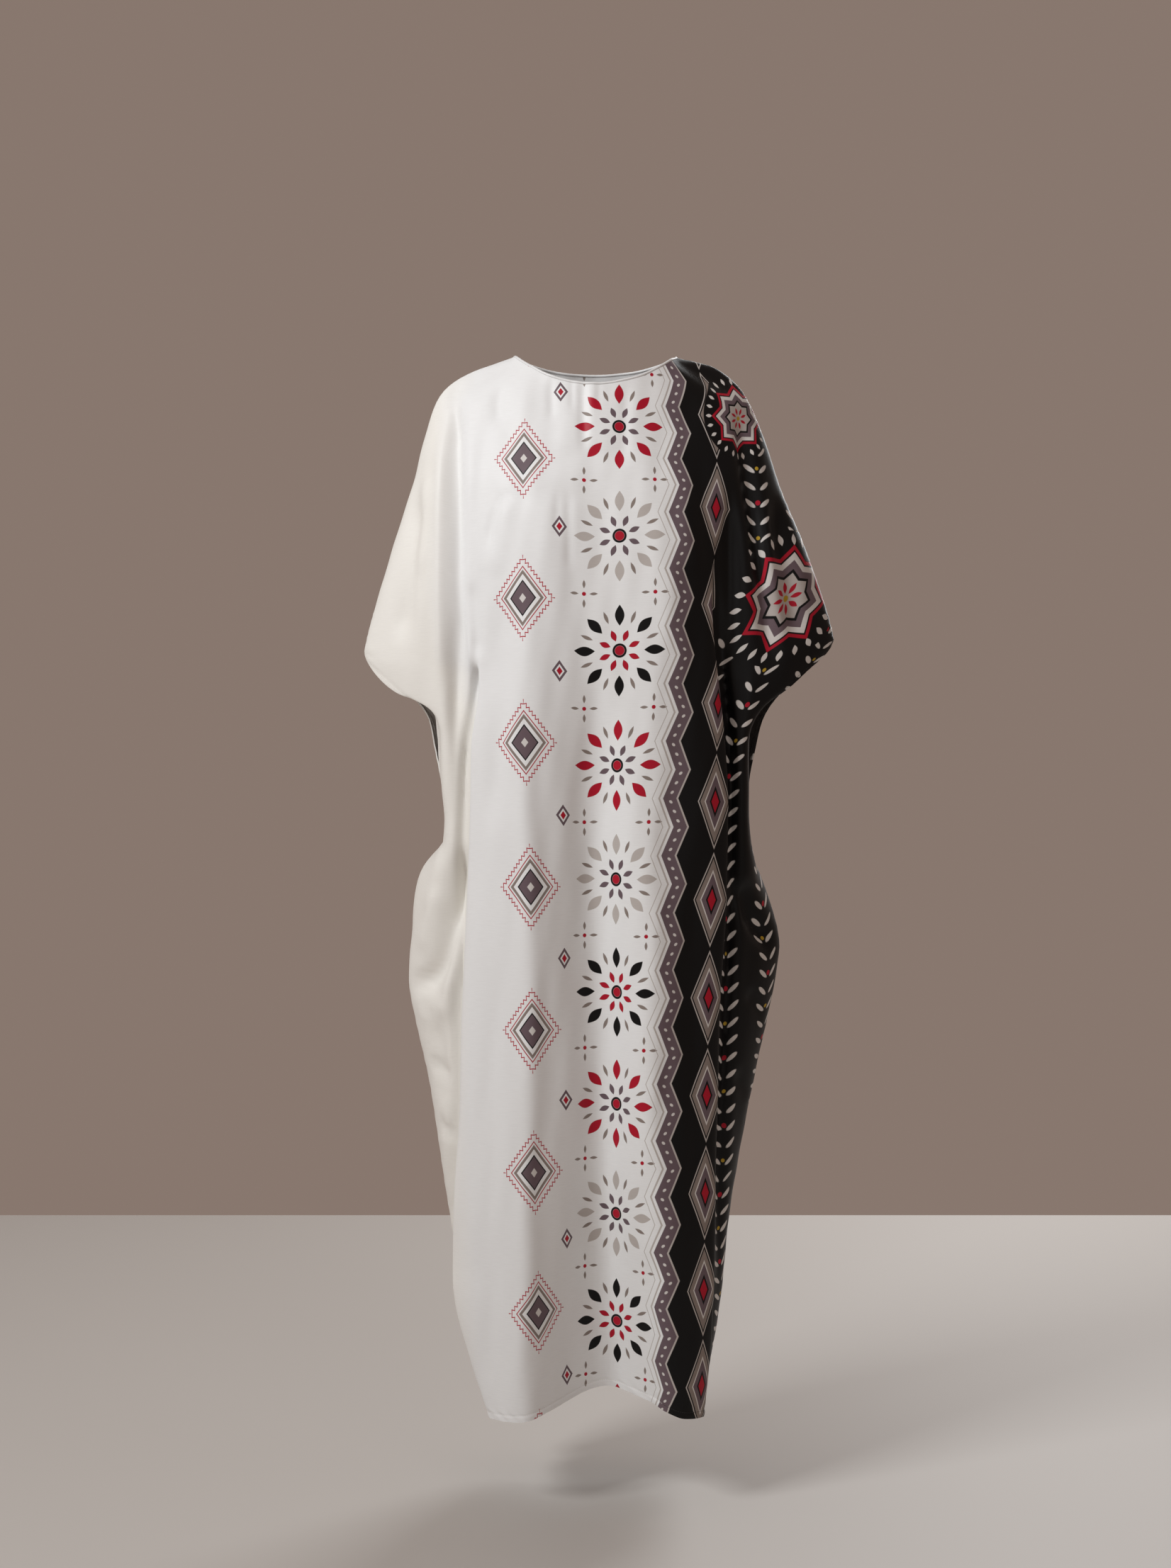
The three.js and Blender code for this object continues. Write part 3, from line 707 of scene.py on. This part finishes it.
def leaves(radius, angle, count, inner, outer, half_width):
    """A ring of pointed leaves: each is a sine bulge along its own spoke."""
    aside = angle.op("PINGPONG", math.pi / count)
    reach = radius * aside.op("COSINE")
    share = reach.op("MULTIPLY_ADD", 1 / (outer - inner), -inner / (outer - inner), clamp=True)
    bulge = (share * math.pi).op("SINE").op("MULTIPLY_ADD", half_width, -PRINT_SOFTNESS)
    return (radius * aside.op("SINE") - bulge).below(0)


class Print:
    """Colours laid over one another on the cloth."""

    def __init__(self, tree, ground):
        self.tree = tree
        self.colour = ground

    def lay(self, colour, mask, blend="MIX"):
        """Lays a colour over what is there, as far as the mask says: a field or one share for all."""
        node = self.tree.nodes.new("ShaderNodeMix")
        node.data_type = "RGBA"
        node.blend_type = blend
        feed(self.tree, mask, node.inputs["Factor"])
        feed(self.tree, self.colour, node.inputs[6])
        feed(self.tree, colour, node.inputs[7])
        self.colour = node.outputs[2]


FLOWER = {"at": 0.026, "pitch": 0.148, "start": 0.030, "eye": 0.0062, "ring": 0.0092}
FLOWER_LEAVES = {  # count, inner radius, outer radius, half width
    "outer": (8, 0.031, 0.060, 0.0068),
    "between": (8, 0.036, 0.056, 0.0030),
    "inner": (8, 0.012, 0.029, 0.0042),
}
SPRIG = {"aside": 0.046, "start": 0.104, "berry": 0.0026, "leaves": (4, 0.006, 0.019, 0.0026)}


def star_flowers(cloth, u, v):
    """A column of eight-leaf flowers on the ivory, in crimson, taupe and black by turns."""
    dv, number = v.cell(FLOWER["pitch"], FLOWER["start"])
    radius, angle = polar(u - FLOWER["at"], dv)
    turn = number.op("FLOORED_MODULO", 3)
    outer = leaves(radius, angle, *FLOWER_LEAVES["outer"])
    between = leaves(radius, angle + math.pi / 8, *FLOWER_LEAVES["between"])
    inner = leaves(radius, angle + math.pi / 8, *FLOWER_LEAVES["inner"])
    crimson, black = turn.op("COMPARE", 0, 0.1), turn.op("COMPARE", 2, 0.1)
    cloth.lay(PALE, outer)
    cloth.lay(CRIMSON, outer * crimson)
    cloth.lay(BLACK, outer * black)
    cloth.lay(TAUPE, between)
    cloth.lay(MAUVE, inner)
    cloth.lay(CRIMSON, inner * black)
    cloth.lay(BLACK, radius.band(FLOWER["eye"], FLOWER["ring"]))
    cloth.lay(CRIMSON, radius.below(FLOWER["eye"]))
    half, _ = v.cell(FLOWER["pitch"], SPRIG["start"])
    radius, angle = polar((u - FLOWER["at"]).op("ABSOLUTE") - SPRIG["aside"], half)
    cloth.lay(TAUPE, leaves(radius, angle, *SPRIG["leaves"]))
    cloth.lay(CRIMSON, radius.below(SPRIG["berry"]))


LOZENGE = {"at": -0.100, "pitch": 0.186, "start": 0.055, "half_width": 0.038, "half_height": 0.050}
LOZENGE_REACH = 0.042
LOZENGE_TEETH = {"pitch": 0.0042, "height": 1.2, "rim": (0.0400, 0.0424)}
LOZENGE_BANDS = ((CRIMSON, 0.0335, 0.0352), (TAUPE, 0.0262, 0.0308))
LOZENGE_HEART = ((BLACK, 0.0200), (MAUVE, 0.0180), (SILVER, 0.0052))
DIAMOND = {"at": -0.052, "start": 0.148, "narrowness": 1.4}
DIAMOND_RINGS = ((MAUVE, 0.0140), (IVORY, 0.0090), (CRIMSON, 0.0055))


def toothed_lozenges(cloth, u, v):
    """A column of lozenges with toothed crimson rims, and small plain diamonds between them."""
    dv, _ = v.cell(LOZENGE["pitch"], LOZENGE["start"])
    across = (u - LOZENGE["at"]).op("ABSOLUTE") * (1 / LOZENGE["half_width"])
    up = dv.op("ABSOLUTE") * (1 / LOZENGE["half_height"])
    size = (across + up) * LOZENGE_REACH
    rim = ((across - up) * LOZENGE_REACH).op("PINGPONG", LOZENGE_TEETH["pitch"])
    cloth.lay(CRIMSON, (size - rim * LOZENGE_TEETH["height"]).band(*LOZENGE_TEETH["rim"]))
    for colour, low, high in LOZENGE_BANDS:
        cloth.lay(colour, size.band(low, high))
    for colour, reach in LOZENGE_HEART:
        cloth.lay(colour, size.below(reach))
    small, _ = v.cell(LOZENGE["pitch"], DIAMOND["start"])
    diamond = (u - DIAMOND["at"]).op("ABSOLUTE") * DIAMOND["narrowness"] + small.op("ABSOLUTE")
    for colour, reach in DIAMOND_RINGS:
        cloth.lay(colour, diamond.below(reach))


BORDER = {"at": 0.090, "pitch": 0.074, "slope": 0.42, "pale": 0.018, "black": 0.0205}
BORDER_LINES = ((-0.0150, -0.0140), (-0.0065, -0.0040))
BORDER_DOT = {"at": 0.009, "pitch": 0.0123, "radius": 0.0021}


def border(cloth, u, v):
    """The zigzag edge of the black side: a mauve band with dots, a pale line, then black."""
    edge = u - v.zigzag(BORDER["pitch"]) * BORDER["slope"] - BORDER["at"]
    for low, high in BORDER_LINES:
        cloth.lay(PALE, edge.band(low, high))
    cloth.lay(MAUVE, edge.above(0))
    dot, _ = v.cell(BORDER_DOT["pitch"])
    cloth.lay(SILVER, polar(edge - BORDER_DOT["at"], dot)[0].below(BORDER_DOT["radius"]))
    cloth.lay(PALE, edge.above(BORDER["pale"]))
    cloth.lay(BLACK, edge.above(BORDER["black"]))


CHAIN = {"at": 0.163, "pitch": 0.128, "start": 0.02, "half_width": 0.026, "half_height": 0.062}
CHAIN_RINGS = (
    (PALE, 0.0260), (BLACK, 0.0244), (TAUPE, 0.0225), (SILVER, 0.0165),
    (MAUVE, 0.0148), (BLACK, 0.0085), (CRIMSON, 0.0060),
)


def lozenge_chain(cloth, u, v):
    """Tall lozenges tip to tip on the black, in taupe, mauve and silver rings."""
    dv, _ = v.cell(CHAIN["pitch"], CHAIN["start"])
    across = (u - CHAIN["at"]).op("ABSOLUTE") * (1 / CHAIN["half_width"])
    size = (across + dv.op("ABSOLUTE") * (1 / CHAIN["half_height"])) * CHAIN["half_width"]
    for colour, reach in CHAIN_RINGS:
        cloth.lay(colour, size.below(reach))


VINE = {"pitch": 0.074, "start": 0.200, "from": 0.205, "step": 0.0235, "shift": 0.013}
VINE_LEAF = {"aside": 0.0108, "half_length": 0.0092, "half_width": 0.0030, "slant": math.radians(38)}
VINE_BERRY = {"crimson": 0.0034, "ochre": 0.0026}


def leaf_vines(cloth, u, v):
    """Upright vines on the black: a pair of slanting leaves at each step, with a berry now and then."""
    du, line = u.cell(VINE["pitch"], VINE["start"])
    dv, number = (v + line * VINE["shift"]).cell(VINE["step"])
    cosine, sine = math.cos(VINE_LEAF["slant"]), math.sin(VINE_LEAF["slant"])
    out = du.op("ABSOLUTE") - VINE_LEAF["aside"]
    long_way = (out * cosine - dv * sine) * (VINE_LEAF["half_width"] / VINE_LEAF["half_length"])
    short_way = out * sine + dv * cosine
    side = u.above(VINE["from"])
    cloth.lay(SILVER, polar(long_way, short_way)[0].below(VINE_LEAF["half_width"]) * side)
    berry = polar(du, dv)[0]
    turn = number.op("FLOORED_MODULO", 4)
    cloth.lay(CRIMSON, berry.below(VINE_BERRY["crimson"]) * turn.op("COMPARE", 0, 0.1) * side)
    cloth.lay(OCHRE, berry.below(VINE_BERRY["ochre"]) * turn.op("COMPARE", 2, 0.1) * side)


MEDALLIONS = ((0.300, 0.325, 0.062), (0.205, 0.085, 0.040))  # place across and down, size
MEDALLION_DISC = 1.50  # this and the sizes below are in shares of the medallion's size
MEDALLION_RING = {"count": 24, "leaf": (1.16, 1.44, 0.075)}  # inner radius, outer radius, half width
MEDALLION_ROSE = {"count": 8, "leaf": (0.10, 0.40, 0.065)}
MEDALLION_STARS = (
    (CRIMSON, 0.84), (BLACK, 0.76), (SILVER, 0.72), (MAUVE, 0.60), (BLACK, 0.46), (PALE, 0.40),
)
MEDALLION_EYE = 0.075


def medallion(cloth, u, v, at_u, at_v, size):
    """An eight-pointed star of two crossed squares, ringed by leaves, on a black disc."""
    x, y = u - at_u, v - at_v
    radius, angle = polar(x, y)
    across, up = x.op("ABSOLUTE"), y.op("ABSOLUTE")
    star = across.op("MAXIMUM", up).op("MINIMUM", (across + up) * math.sqrt(0.5))
    ring, rose = ([share * size for share in part["leaf"]] for part in (MEDALLION_RING, MEDALLION_ROSE))
    cloth.lay(BLACK, radius.below(MEDALLION_DISC * size))
    cloth.lay(SILVER, leaves(radius, angle, MEDALLION_RING["count"], *ring))
    for colour, reach in MEDALLION_STARS:
        cloth.lay(colour, star.below(reach * size))
    cloth.lay(CRIMSON, leaves(radius, angle + math.pi / 8, MEDALLION_ROSE["count"], *rose))
    cloth.lay(OCHRE, radius.below(MEDALLION_EYE * size))


def noise_along(tree, u, v, across, down):
    """Noise whose grain is so many cells a metre across and down the cloth."""
    place = tree.nodes.new("ShaderNodeCombineXYZ")
    tree.links.new((u * across).socket, place.inputs[0])
    tree.links.new((v * down).socket, place.inputs[1])
    noise = tree.nodes.new("ShaderNodeTexNoise")
    noise.inputs["Scale"].default_value = 1.0
    noise.inputs["Detail"].default_value = 2.0
    tree.links.new(place.outputs[0], noise.inputs["Vector"])
    return Field(tree, noise.outputs["Fac"])


def cloth_shader(name):
    """A material with its shader, and the place on the flat cloth as two fields."""
    material = bpy.data.materials.new(name)
    material.use_nodes = True
    tree = material.node_tree
    place = tree.nodes.new("ShaderNodeUVMap")
    place.uv_map = "cloth"
    split = tree.nodes.new("ShaderNodeSeparateXYZ")
    tree.links.new(place.outputs[0], split.inputs[0])
    across, down = (Field(tree, split.outputs[k]) for k in (0, 1))
    return material, tree.nodes["Principled BSDF"], across, down


THREADS = (1500, 2600)  # this and the next two are cells a metre, across and down the cloth
SLUBS = (60, 900)
SHEEN_PATCHES = (14, 6)
THREAD_BUMP = {"distance": 0.0002, "strength": 0.3}
WARM_LIGHT_EDGE = -0.19  # across the cloth, where the painted warm light of the key lamp starts to turn the ivory to cream
WARM_LIGHT_FADE = 0.06


def bump_with(shader, height, distance, strength):
    """Tilts the shading by a height field."""
    tree = height.tree
    bump = tree.nodes.new("ShaderNodeBump")
    bump.inputs["Distance"].default_value = distance
    bump.inputs["Strength"].default_value = strength
    tree.links.new(height.socket, bump.inputs["Height"])
    tree.links.new(bump.outputs[0], shader.inputs["Normal"])


def satin(name, strike_through):
    """Printed satin crepe: the print, a painted warm light that turns the left side cream, crepe threads
    with slubs, and a soft uneven sheen.

    strike_through is the share of the print that shows: all of it outside, less on the reverse.
    """
    material, shader, u, v = cloth_shader(name)
    tree = material.node_tree
    cloth = Print(tree, IVORY)
    # painted light: a cream tint over the left side of the cloth stands for the warm key light falling there
    cloth.lay(WARM_LIGHT_CREAM, u.op("MULTIPLY_ADD", -1 / WARM_LIGHT_FADE, WARM_LIGHT_EDGE / WARM_LIGHT_FADE, clamp=True))
    toothed_lozenges(cloth, u, v)
    star_flowers(cloth, u, v)
    border(cloth, u, v)
    leaf_vines(cloth, u, v)
    lozenge_chain(cloth, u, v)
    for at_u, at_v, size in MEDALLIONS:
        medallion(cloth, u, v, at_u, at_v, size)
    slubs = noise_along(tree, u, v, *SLUBS)
    cloth.lay(TAUPE, slubs.op("MULTIPLY_ADD", 0.12, -0.04, clamp=True), "MULTIPLY")
    cloth.lay(PALE, 1 - strike_through)
    tree.links.new(cloth.colour, shader.inputs["Base Color"])
    sheen_patches = noise_along(tree, u, v, *SHEEN_PATCHES)
    tree.links.new(sheen_patches.op("MULTIPLY_ADD", 0.12, 0.40).socket, shader.inputs["Roughness"])
    shader.inputs["Specular IOR Level"].default_value = 0.2
    shader.inputs["Sheen Weight"].default_value = 0.02
    shader.inputs["Sheen Roughness"].default_value = 0.45
    threads = noise_along(tree, u, v, *THREADS) + slubs * 0.3
    bump_with(shader, threads, **THREAD_BUMP)
    return material


PRINTED = satin("printed_satin", 1)
PRINTED_REVERSE = satin("printed_satin_reverse", 0.88)
CLOTH_WALL = 1.0  # the satin with its fall, thin beside the rigid frame's wall
TURNED_WALL = 1.9  # with the layer folded in behind it
TURNED_STEP = 1.5  # run over which the folded layer ends
SHARP_FROM = math.radians(50)


def new_piece(name, points, faces, materials):
    """A smooth-shaded mesh object in metres, riding with the dress."""
    mesh = bpy.data.meshes.new(name)
    mesh.from_pydata((points * MM).tolist(), [], faces)
    for material in materials:
        mesh.materials.append(material)
    mesh.polygons.foreach_set("use_smooth", np.ones(len(faces), bool))
    mesh.set_sharp_from_angle(angle=SHARP_FROM)
    piece = bpy.data.objects.new(name, mesh)
    bpy.context.collection.objects.link(piece)
    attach(piece, "root")
    return piece


def lay_out(piece, flat):
    """Stores each vertex's place on the flat cloth as the piece's cloth coordinates."""
    mesh = piece.data
    corner = np.empty(len(mesh.loops), np.int32)
    mesh.loops.foreach_get("vertex_index", corner)
    mesh.uv_layers.new(name="cloth").data.foreach_set("uv", flat[corner].ravel())


def cloth_wall(name, face, made):
    """A closed wall: the outer grid, the same grid moved in by the cloth's thickness, and four rims."""
    grid, normals = made
    rows, columns = grid.shape[:2]
    layer = rows * columns
    folded = smooth_step((TURNING["height"] - turned(grid)) / TURNED_STEP)
    thickness = CLOTH_WALL + (TURNED_WALL - CLOTH_WALL) * folded
    inner = grid - normals * thickness[..., None]
    index = np.arange(layer).reshape(rows, columns)
    cell = np.stack((index[:-1, :-1], index[1:, :-1], index[1:, 1:], index[:-1, 1:]), axis=-1).reshape(-1, 4)
    loop = np.concatenate((index[:-1, 0], index[-1, :-1], index[:0:-1, -1], index[0, :0:-1]))
    ahead = np.roll(loop, -1)
    rim = np.stack((ahead, loop, loop + layer, ahead + layer), axis=-1)
    if FACING[face] > 0:
        cell, rim = cell[:, ::-1], rim[:, ::-1]
    faces = np.concatenate((cell, cell[:, ::-1] + layer, rim))
    points = np.concatenate((grid.reshape(-1, 3), inner.reshape(-1, 3)))
    piece = new_piece(name, points, faces.tolist(), [PRINTED, PRINTED_REVERSE])
    is_inner = np.zeros(len(faces), np.int32)
    is_inner[len(cell) : 2 * len(cell)] = 1
    piece.data.polygons.foreach_set("material_index", is_inner)
    flat = np.stack([part.ravel() for part in cloth_coordinates(grid)], axis=-1)
    lay_out(piece, np.tile(flat, (2, 1)))
    return piece


# Topstitching: the hem and the sleeve edges are turned in by 10 mm and sewn down with one row of
# stitches, pale on the ivory and dark on the black. Each stitch is a short thread that bites the cloth.
STITCH = {"pitch": 3.0, "length": 2.3, "radius": 0.24, "sides": 6}
STITCH_RINGS = ((-1, 0.35, -0.5), (-0.6, 1, 0.4), (0.6, 1, 0.4), (1, 0.35, -0.5))  # along, thickness, lift
THREAD_CHANGE = 0.103  # across the flat cloth, where pale thread gives way to black


def stitch_path(distance, points, normals, flat):
    """Point, normal and flat place where each line of a grid is a stitch line's distance from the edge."""
    values = np.concatenate((points, normals, flat), axis=-1)
    return np.array([sampled(TURNING["stitch_line"], away, line) for away, line in zip(distance, values)])


def stitch_paths(made):
    """The stitch lines of the hem and of both sleeve edges, each read off the rows or columns beside it."""
    grid, normals = made
    flat = np.stack(cloth_coordinates(grid), axis=-1)
    side, hem = from_edges(grid)
    near_hem = slice(-2 - len(HEM_LINES_UP), None)
    up = [np.swapaxes(part[near_hem][::-1], 0, 1) for part in (grid, normals, flat)]
    paths = [stitch_path(hem[near_hem][::-1].T, *up)]
    cuff = ~is_sewn(fine_rows())
    for columns in (slice(0, SPAN_COLUMNS), slice(None, -SPAN_COLUMNS - 1, -1)):
        paths.append(stitch_path(*(part[cuff][:, columns] for part in (side, grid, normals, flat))))
    return paths


def sewn_line(path, inwards):
    """Stitches along a path as vertices (stitch, ring, side, 3) and their flat places.

    inwards is how deep below the outer face they lie: 0 outside, the wall's thickness on the reverse.
    """
    points, normals, flat = path[:, :3], path[:, 3:6], path[:, 6:]
    run = run_along(points)
    middles = np.arange(STITCH["pitch"], run[-1] - STITCH["pitch"], STITCH["pitch"])
    normal = sampled(middles, run, normals)
    middle = sampled(middles, run, points) - normal * inwards
    ahead = sampled(middles + 0.5, run, points) - sampled(middles - 0.5, run, points)
    ahead /= np.linalg.norm(ahead, axis=1, keepdims=True)
    aside = np.cross(ahead, normal)
    turn = 2 * np.pi * np.arange(STITCH["sides"]) / STITCH["sides"]
    way = -1 if inwards else 1
    rings = []
    for share, thick, lift in STITCH_RINGS:
        centre = middle + ahead * share * STITCH["length"] / 2 + normal * way * lift * STITCH["radius"]
        around = aside[:, None] * np.cos(turn)[:, None] + normal[:, None] * np.sin(turn)[:, None]
        rings.append(centre[:, None] + around * STITCH["radius"] * thick)
    return np.stack(rings, axis=1), sampled(middles, run, flat)


def thread_finish():
    """Polyester thread that matches the ground it is sewn on: silver on the ivory, black on the black."""
    material, shader, u, _ = cloth_shader("thread")
    tree = material.node_tree
    thread = Print(tree, SILVER)
    thread.lay(BLACK, u.above(THREAD_CHANGE))
    tree.links.new(thread.colour, shader.inputs["Base Color"])
    shader.inputs["Roughness"].default_value = 0.5
    shader.inputs["Sheen Weight"].default_value = 0.2
    return material


def topstitching(name, lines, material):
    """One piece of all the stitches of some lines, each a short tube with two closed ends."""
    rings, flat = (np.concatenate(parts) for parts in zip(*(sewn_line(*line) for line in lines)))
    count, levels, sides = rings.shape[:3]
    index = np.arange(levels * sides).reshape(levels, sides)
    ahead = np.roll(index, -1, axis=1)
    wall = np.stack((index[:-1], ahead[:-1], ahead[1:], index[1:]), axis=-1).reshape(-1, 4)
    caps = np.stack((index[0, ::-1], index[-1]))
    starts = (np.arange(count) * levels * sides)[:, None, None]
    faces = (starts + wall).reshape(-1, 4).tolist() + (starts + caps).reshape(-1, sides).tolist()
    piece = new_piece(name, rings.reshape(-1, 3), faces, [material])
    lay_out(piece, np.repeat(flat, levels * sides, axis=0))
    return piece


def turnings_sewn(face, made):
    """Stitch pieces of a panel's hem and sleeve edges, on both sides of the cloth."""
    hem_line, *cuff_lines = stitch_paths(made)
    pieces = []
    for name, paths in ((f"{face}_hem_stitches", [hem_line]), (f"{face}_cuff_stitches", cuff_lines)):
        lines = [(path, inwards) for path in paths for inwards in (0, TURNED_WALL)]
        pieces.append(topstitching(name, lines, THREAD))
    return pieces


THREAD = thread_finish()


# Front panel: one piece of printed satin from sleeve to sleeve, with the boat neck cut out at the top.
# It hangs from the shoulder line in two long folds that tuck their spare width behind them.
front_cloth = cloth_wall("front_cloth", "front", front)
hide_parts("front_panel")
front_stitches = turnings_sewn("front", front)


# Back panel: the same cut in the same satin, with a shallower neck. It is sewn to the front panel along
# the shoulder line and down the side seams, and falls in broader and softer folds.
back_cloth = cloth_wall("back_cloth", "back", back)
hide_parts("back_panel")
back_stitches = turnings_sewn("back", back)


# Neck binding: a bias strip of plain ivory satin, rolled over the neck edge all round and closed with
# a small join at the right neck point. A tube round the neckline, with the slight twist of a bias cut.
BINDING = {"height": 3.6, "thickness": 3.0, "gap": 0.1, "sides": 14}
CAD_WALL = 1.2
TWIST = {"share": 0.035, "wavelength": 7.5}
JOIN = {"share": 0.14, "width": 1.1}


def neck_ring():
    """Neck edge as three (point, 3) arrays: places in the cloth's middle, upward and outward directions."""
    lines = []
    for grid, normals in (front, back):
        rise = grid[0] - grid[1]
        rise /= np.linalg.norm(rise, axis=-1, keepdims=True)
        lines.append((grid[0] - normals[0] * CAD_WALL / 2, rise, normals[0]))
    return [np.concatenate((ahead, behind[-2:0:-1])) for ahead, behind in zip(*lines)]


def bias_satin():
    """Plain ivory satin with its threads running aslant round the roll."""
    material, shader, u, v = cloth_shader("neck_satin")
    tree = material.node_tree
    threads = noise_along(tree, u + v, u - v, *THREADS)
    cloth = Print(tree, IVORY)
    cloth.lay(TAUPE, threads.op("MULTIPLY_ADD", 0.4, -0.12, clamp=True), "MULTIPLY")
    tree.links.new(cloth.colour, shader.inputs["Base Color"])
    shader.inputs["Roughness"].default_value = 0.42
    shader.inputs["Sheen Weight"].default_value = 0.15
    bump_with(shader, threads, **THREAD_BUMP)
    return material


def bound_neck():
    """A tube of points base + rise * up + out * aside, whose radius swells with the twist and the join."""
    base, rise, out = neck_ring()
    count, sides = len(base), BINDING["sides"]
    step = np.linalg.norm(np.roll(base, -1, axis=0) - base, axis=1)
    run = np.cumsum(step) - step
    join = run[len(front[0][0]) - 1]
    turn = 2 * np.pi * np.arange(sides) / sides
    swell = 1 - JOIN["share"] * np.exp(-(((run - join) / JOIN["width"]) ** 2))[:, None]
    swell = swell + TWIST["share"] * np.sin(2 * np.pi * run[:, None] / TWIST["wavelength"] + 2 * turn)
    up = BINDING["gap"] + BINDING["height"] / 2 * (1 + swell * np.sin(turn))
    aside = BINDING["thickness"] / 2 * swell * np.cos(turn)
    points = base[:, None] + rise[:, None] * up[..., None] + out[:, None] * aside[..., None]
    index = np.arange(count * sides).reshape(count, sides)
    ahead = np.roll(index, -1, axis=0)
    faces = np.stack((index, ahead, np.roll(ahead, -1, axis=1), np.roll(index, -1, axis=1)), axis=-1)
    piece = new_piece("neck_roll", points.reshape(-1, 3), faces.reshape(-1, 4).tolist(), [bias_satin()])
    flat = np.stack(np.broadcast_arrays(run[:, None] * MM, turn * BINDING["height"] / 2 * MM), axis=-1)
    lay_out(piece, flat.reshape(-1, 2))
    return piece


neck_roll = bound_neck()
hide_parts("neck_binding")
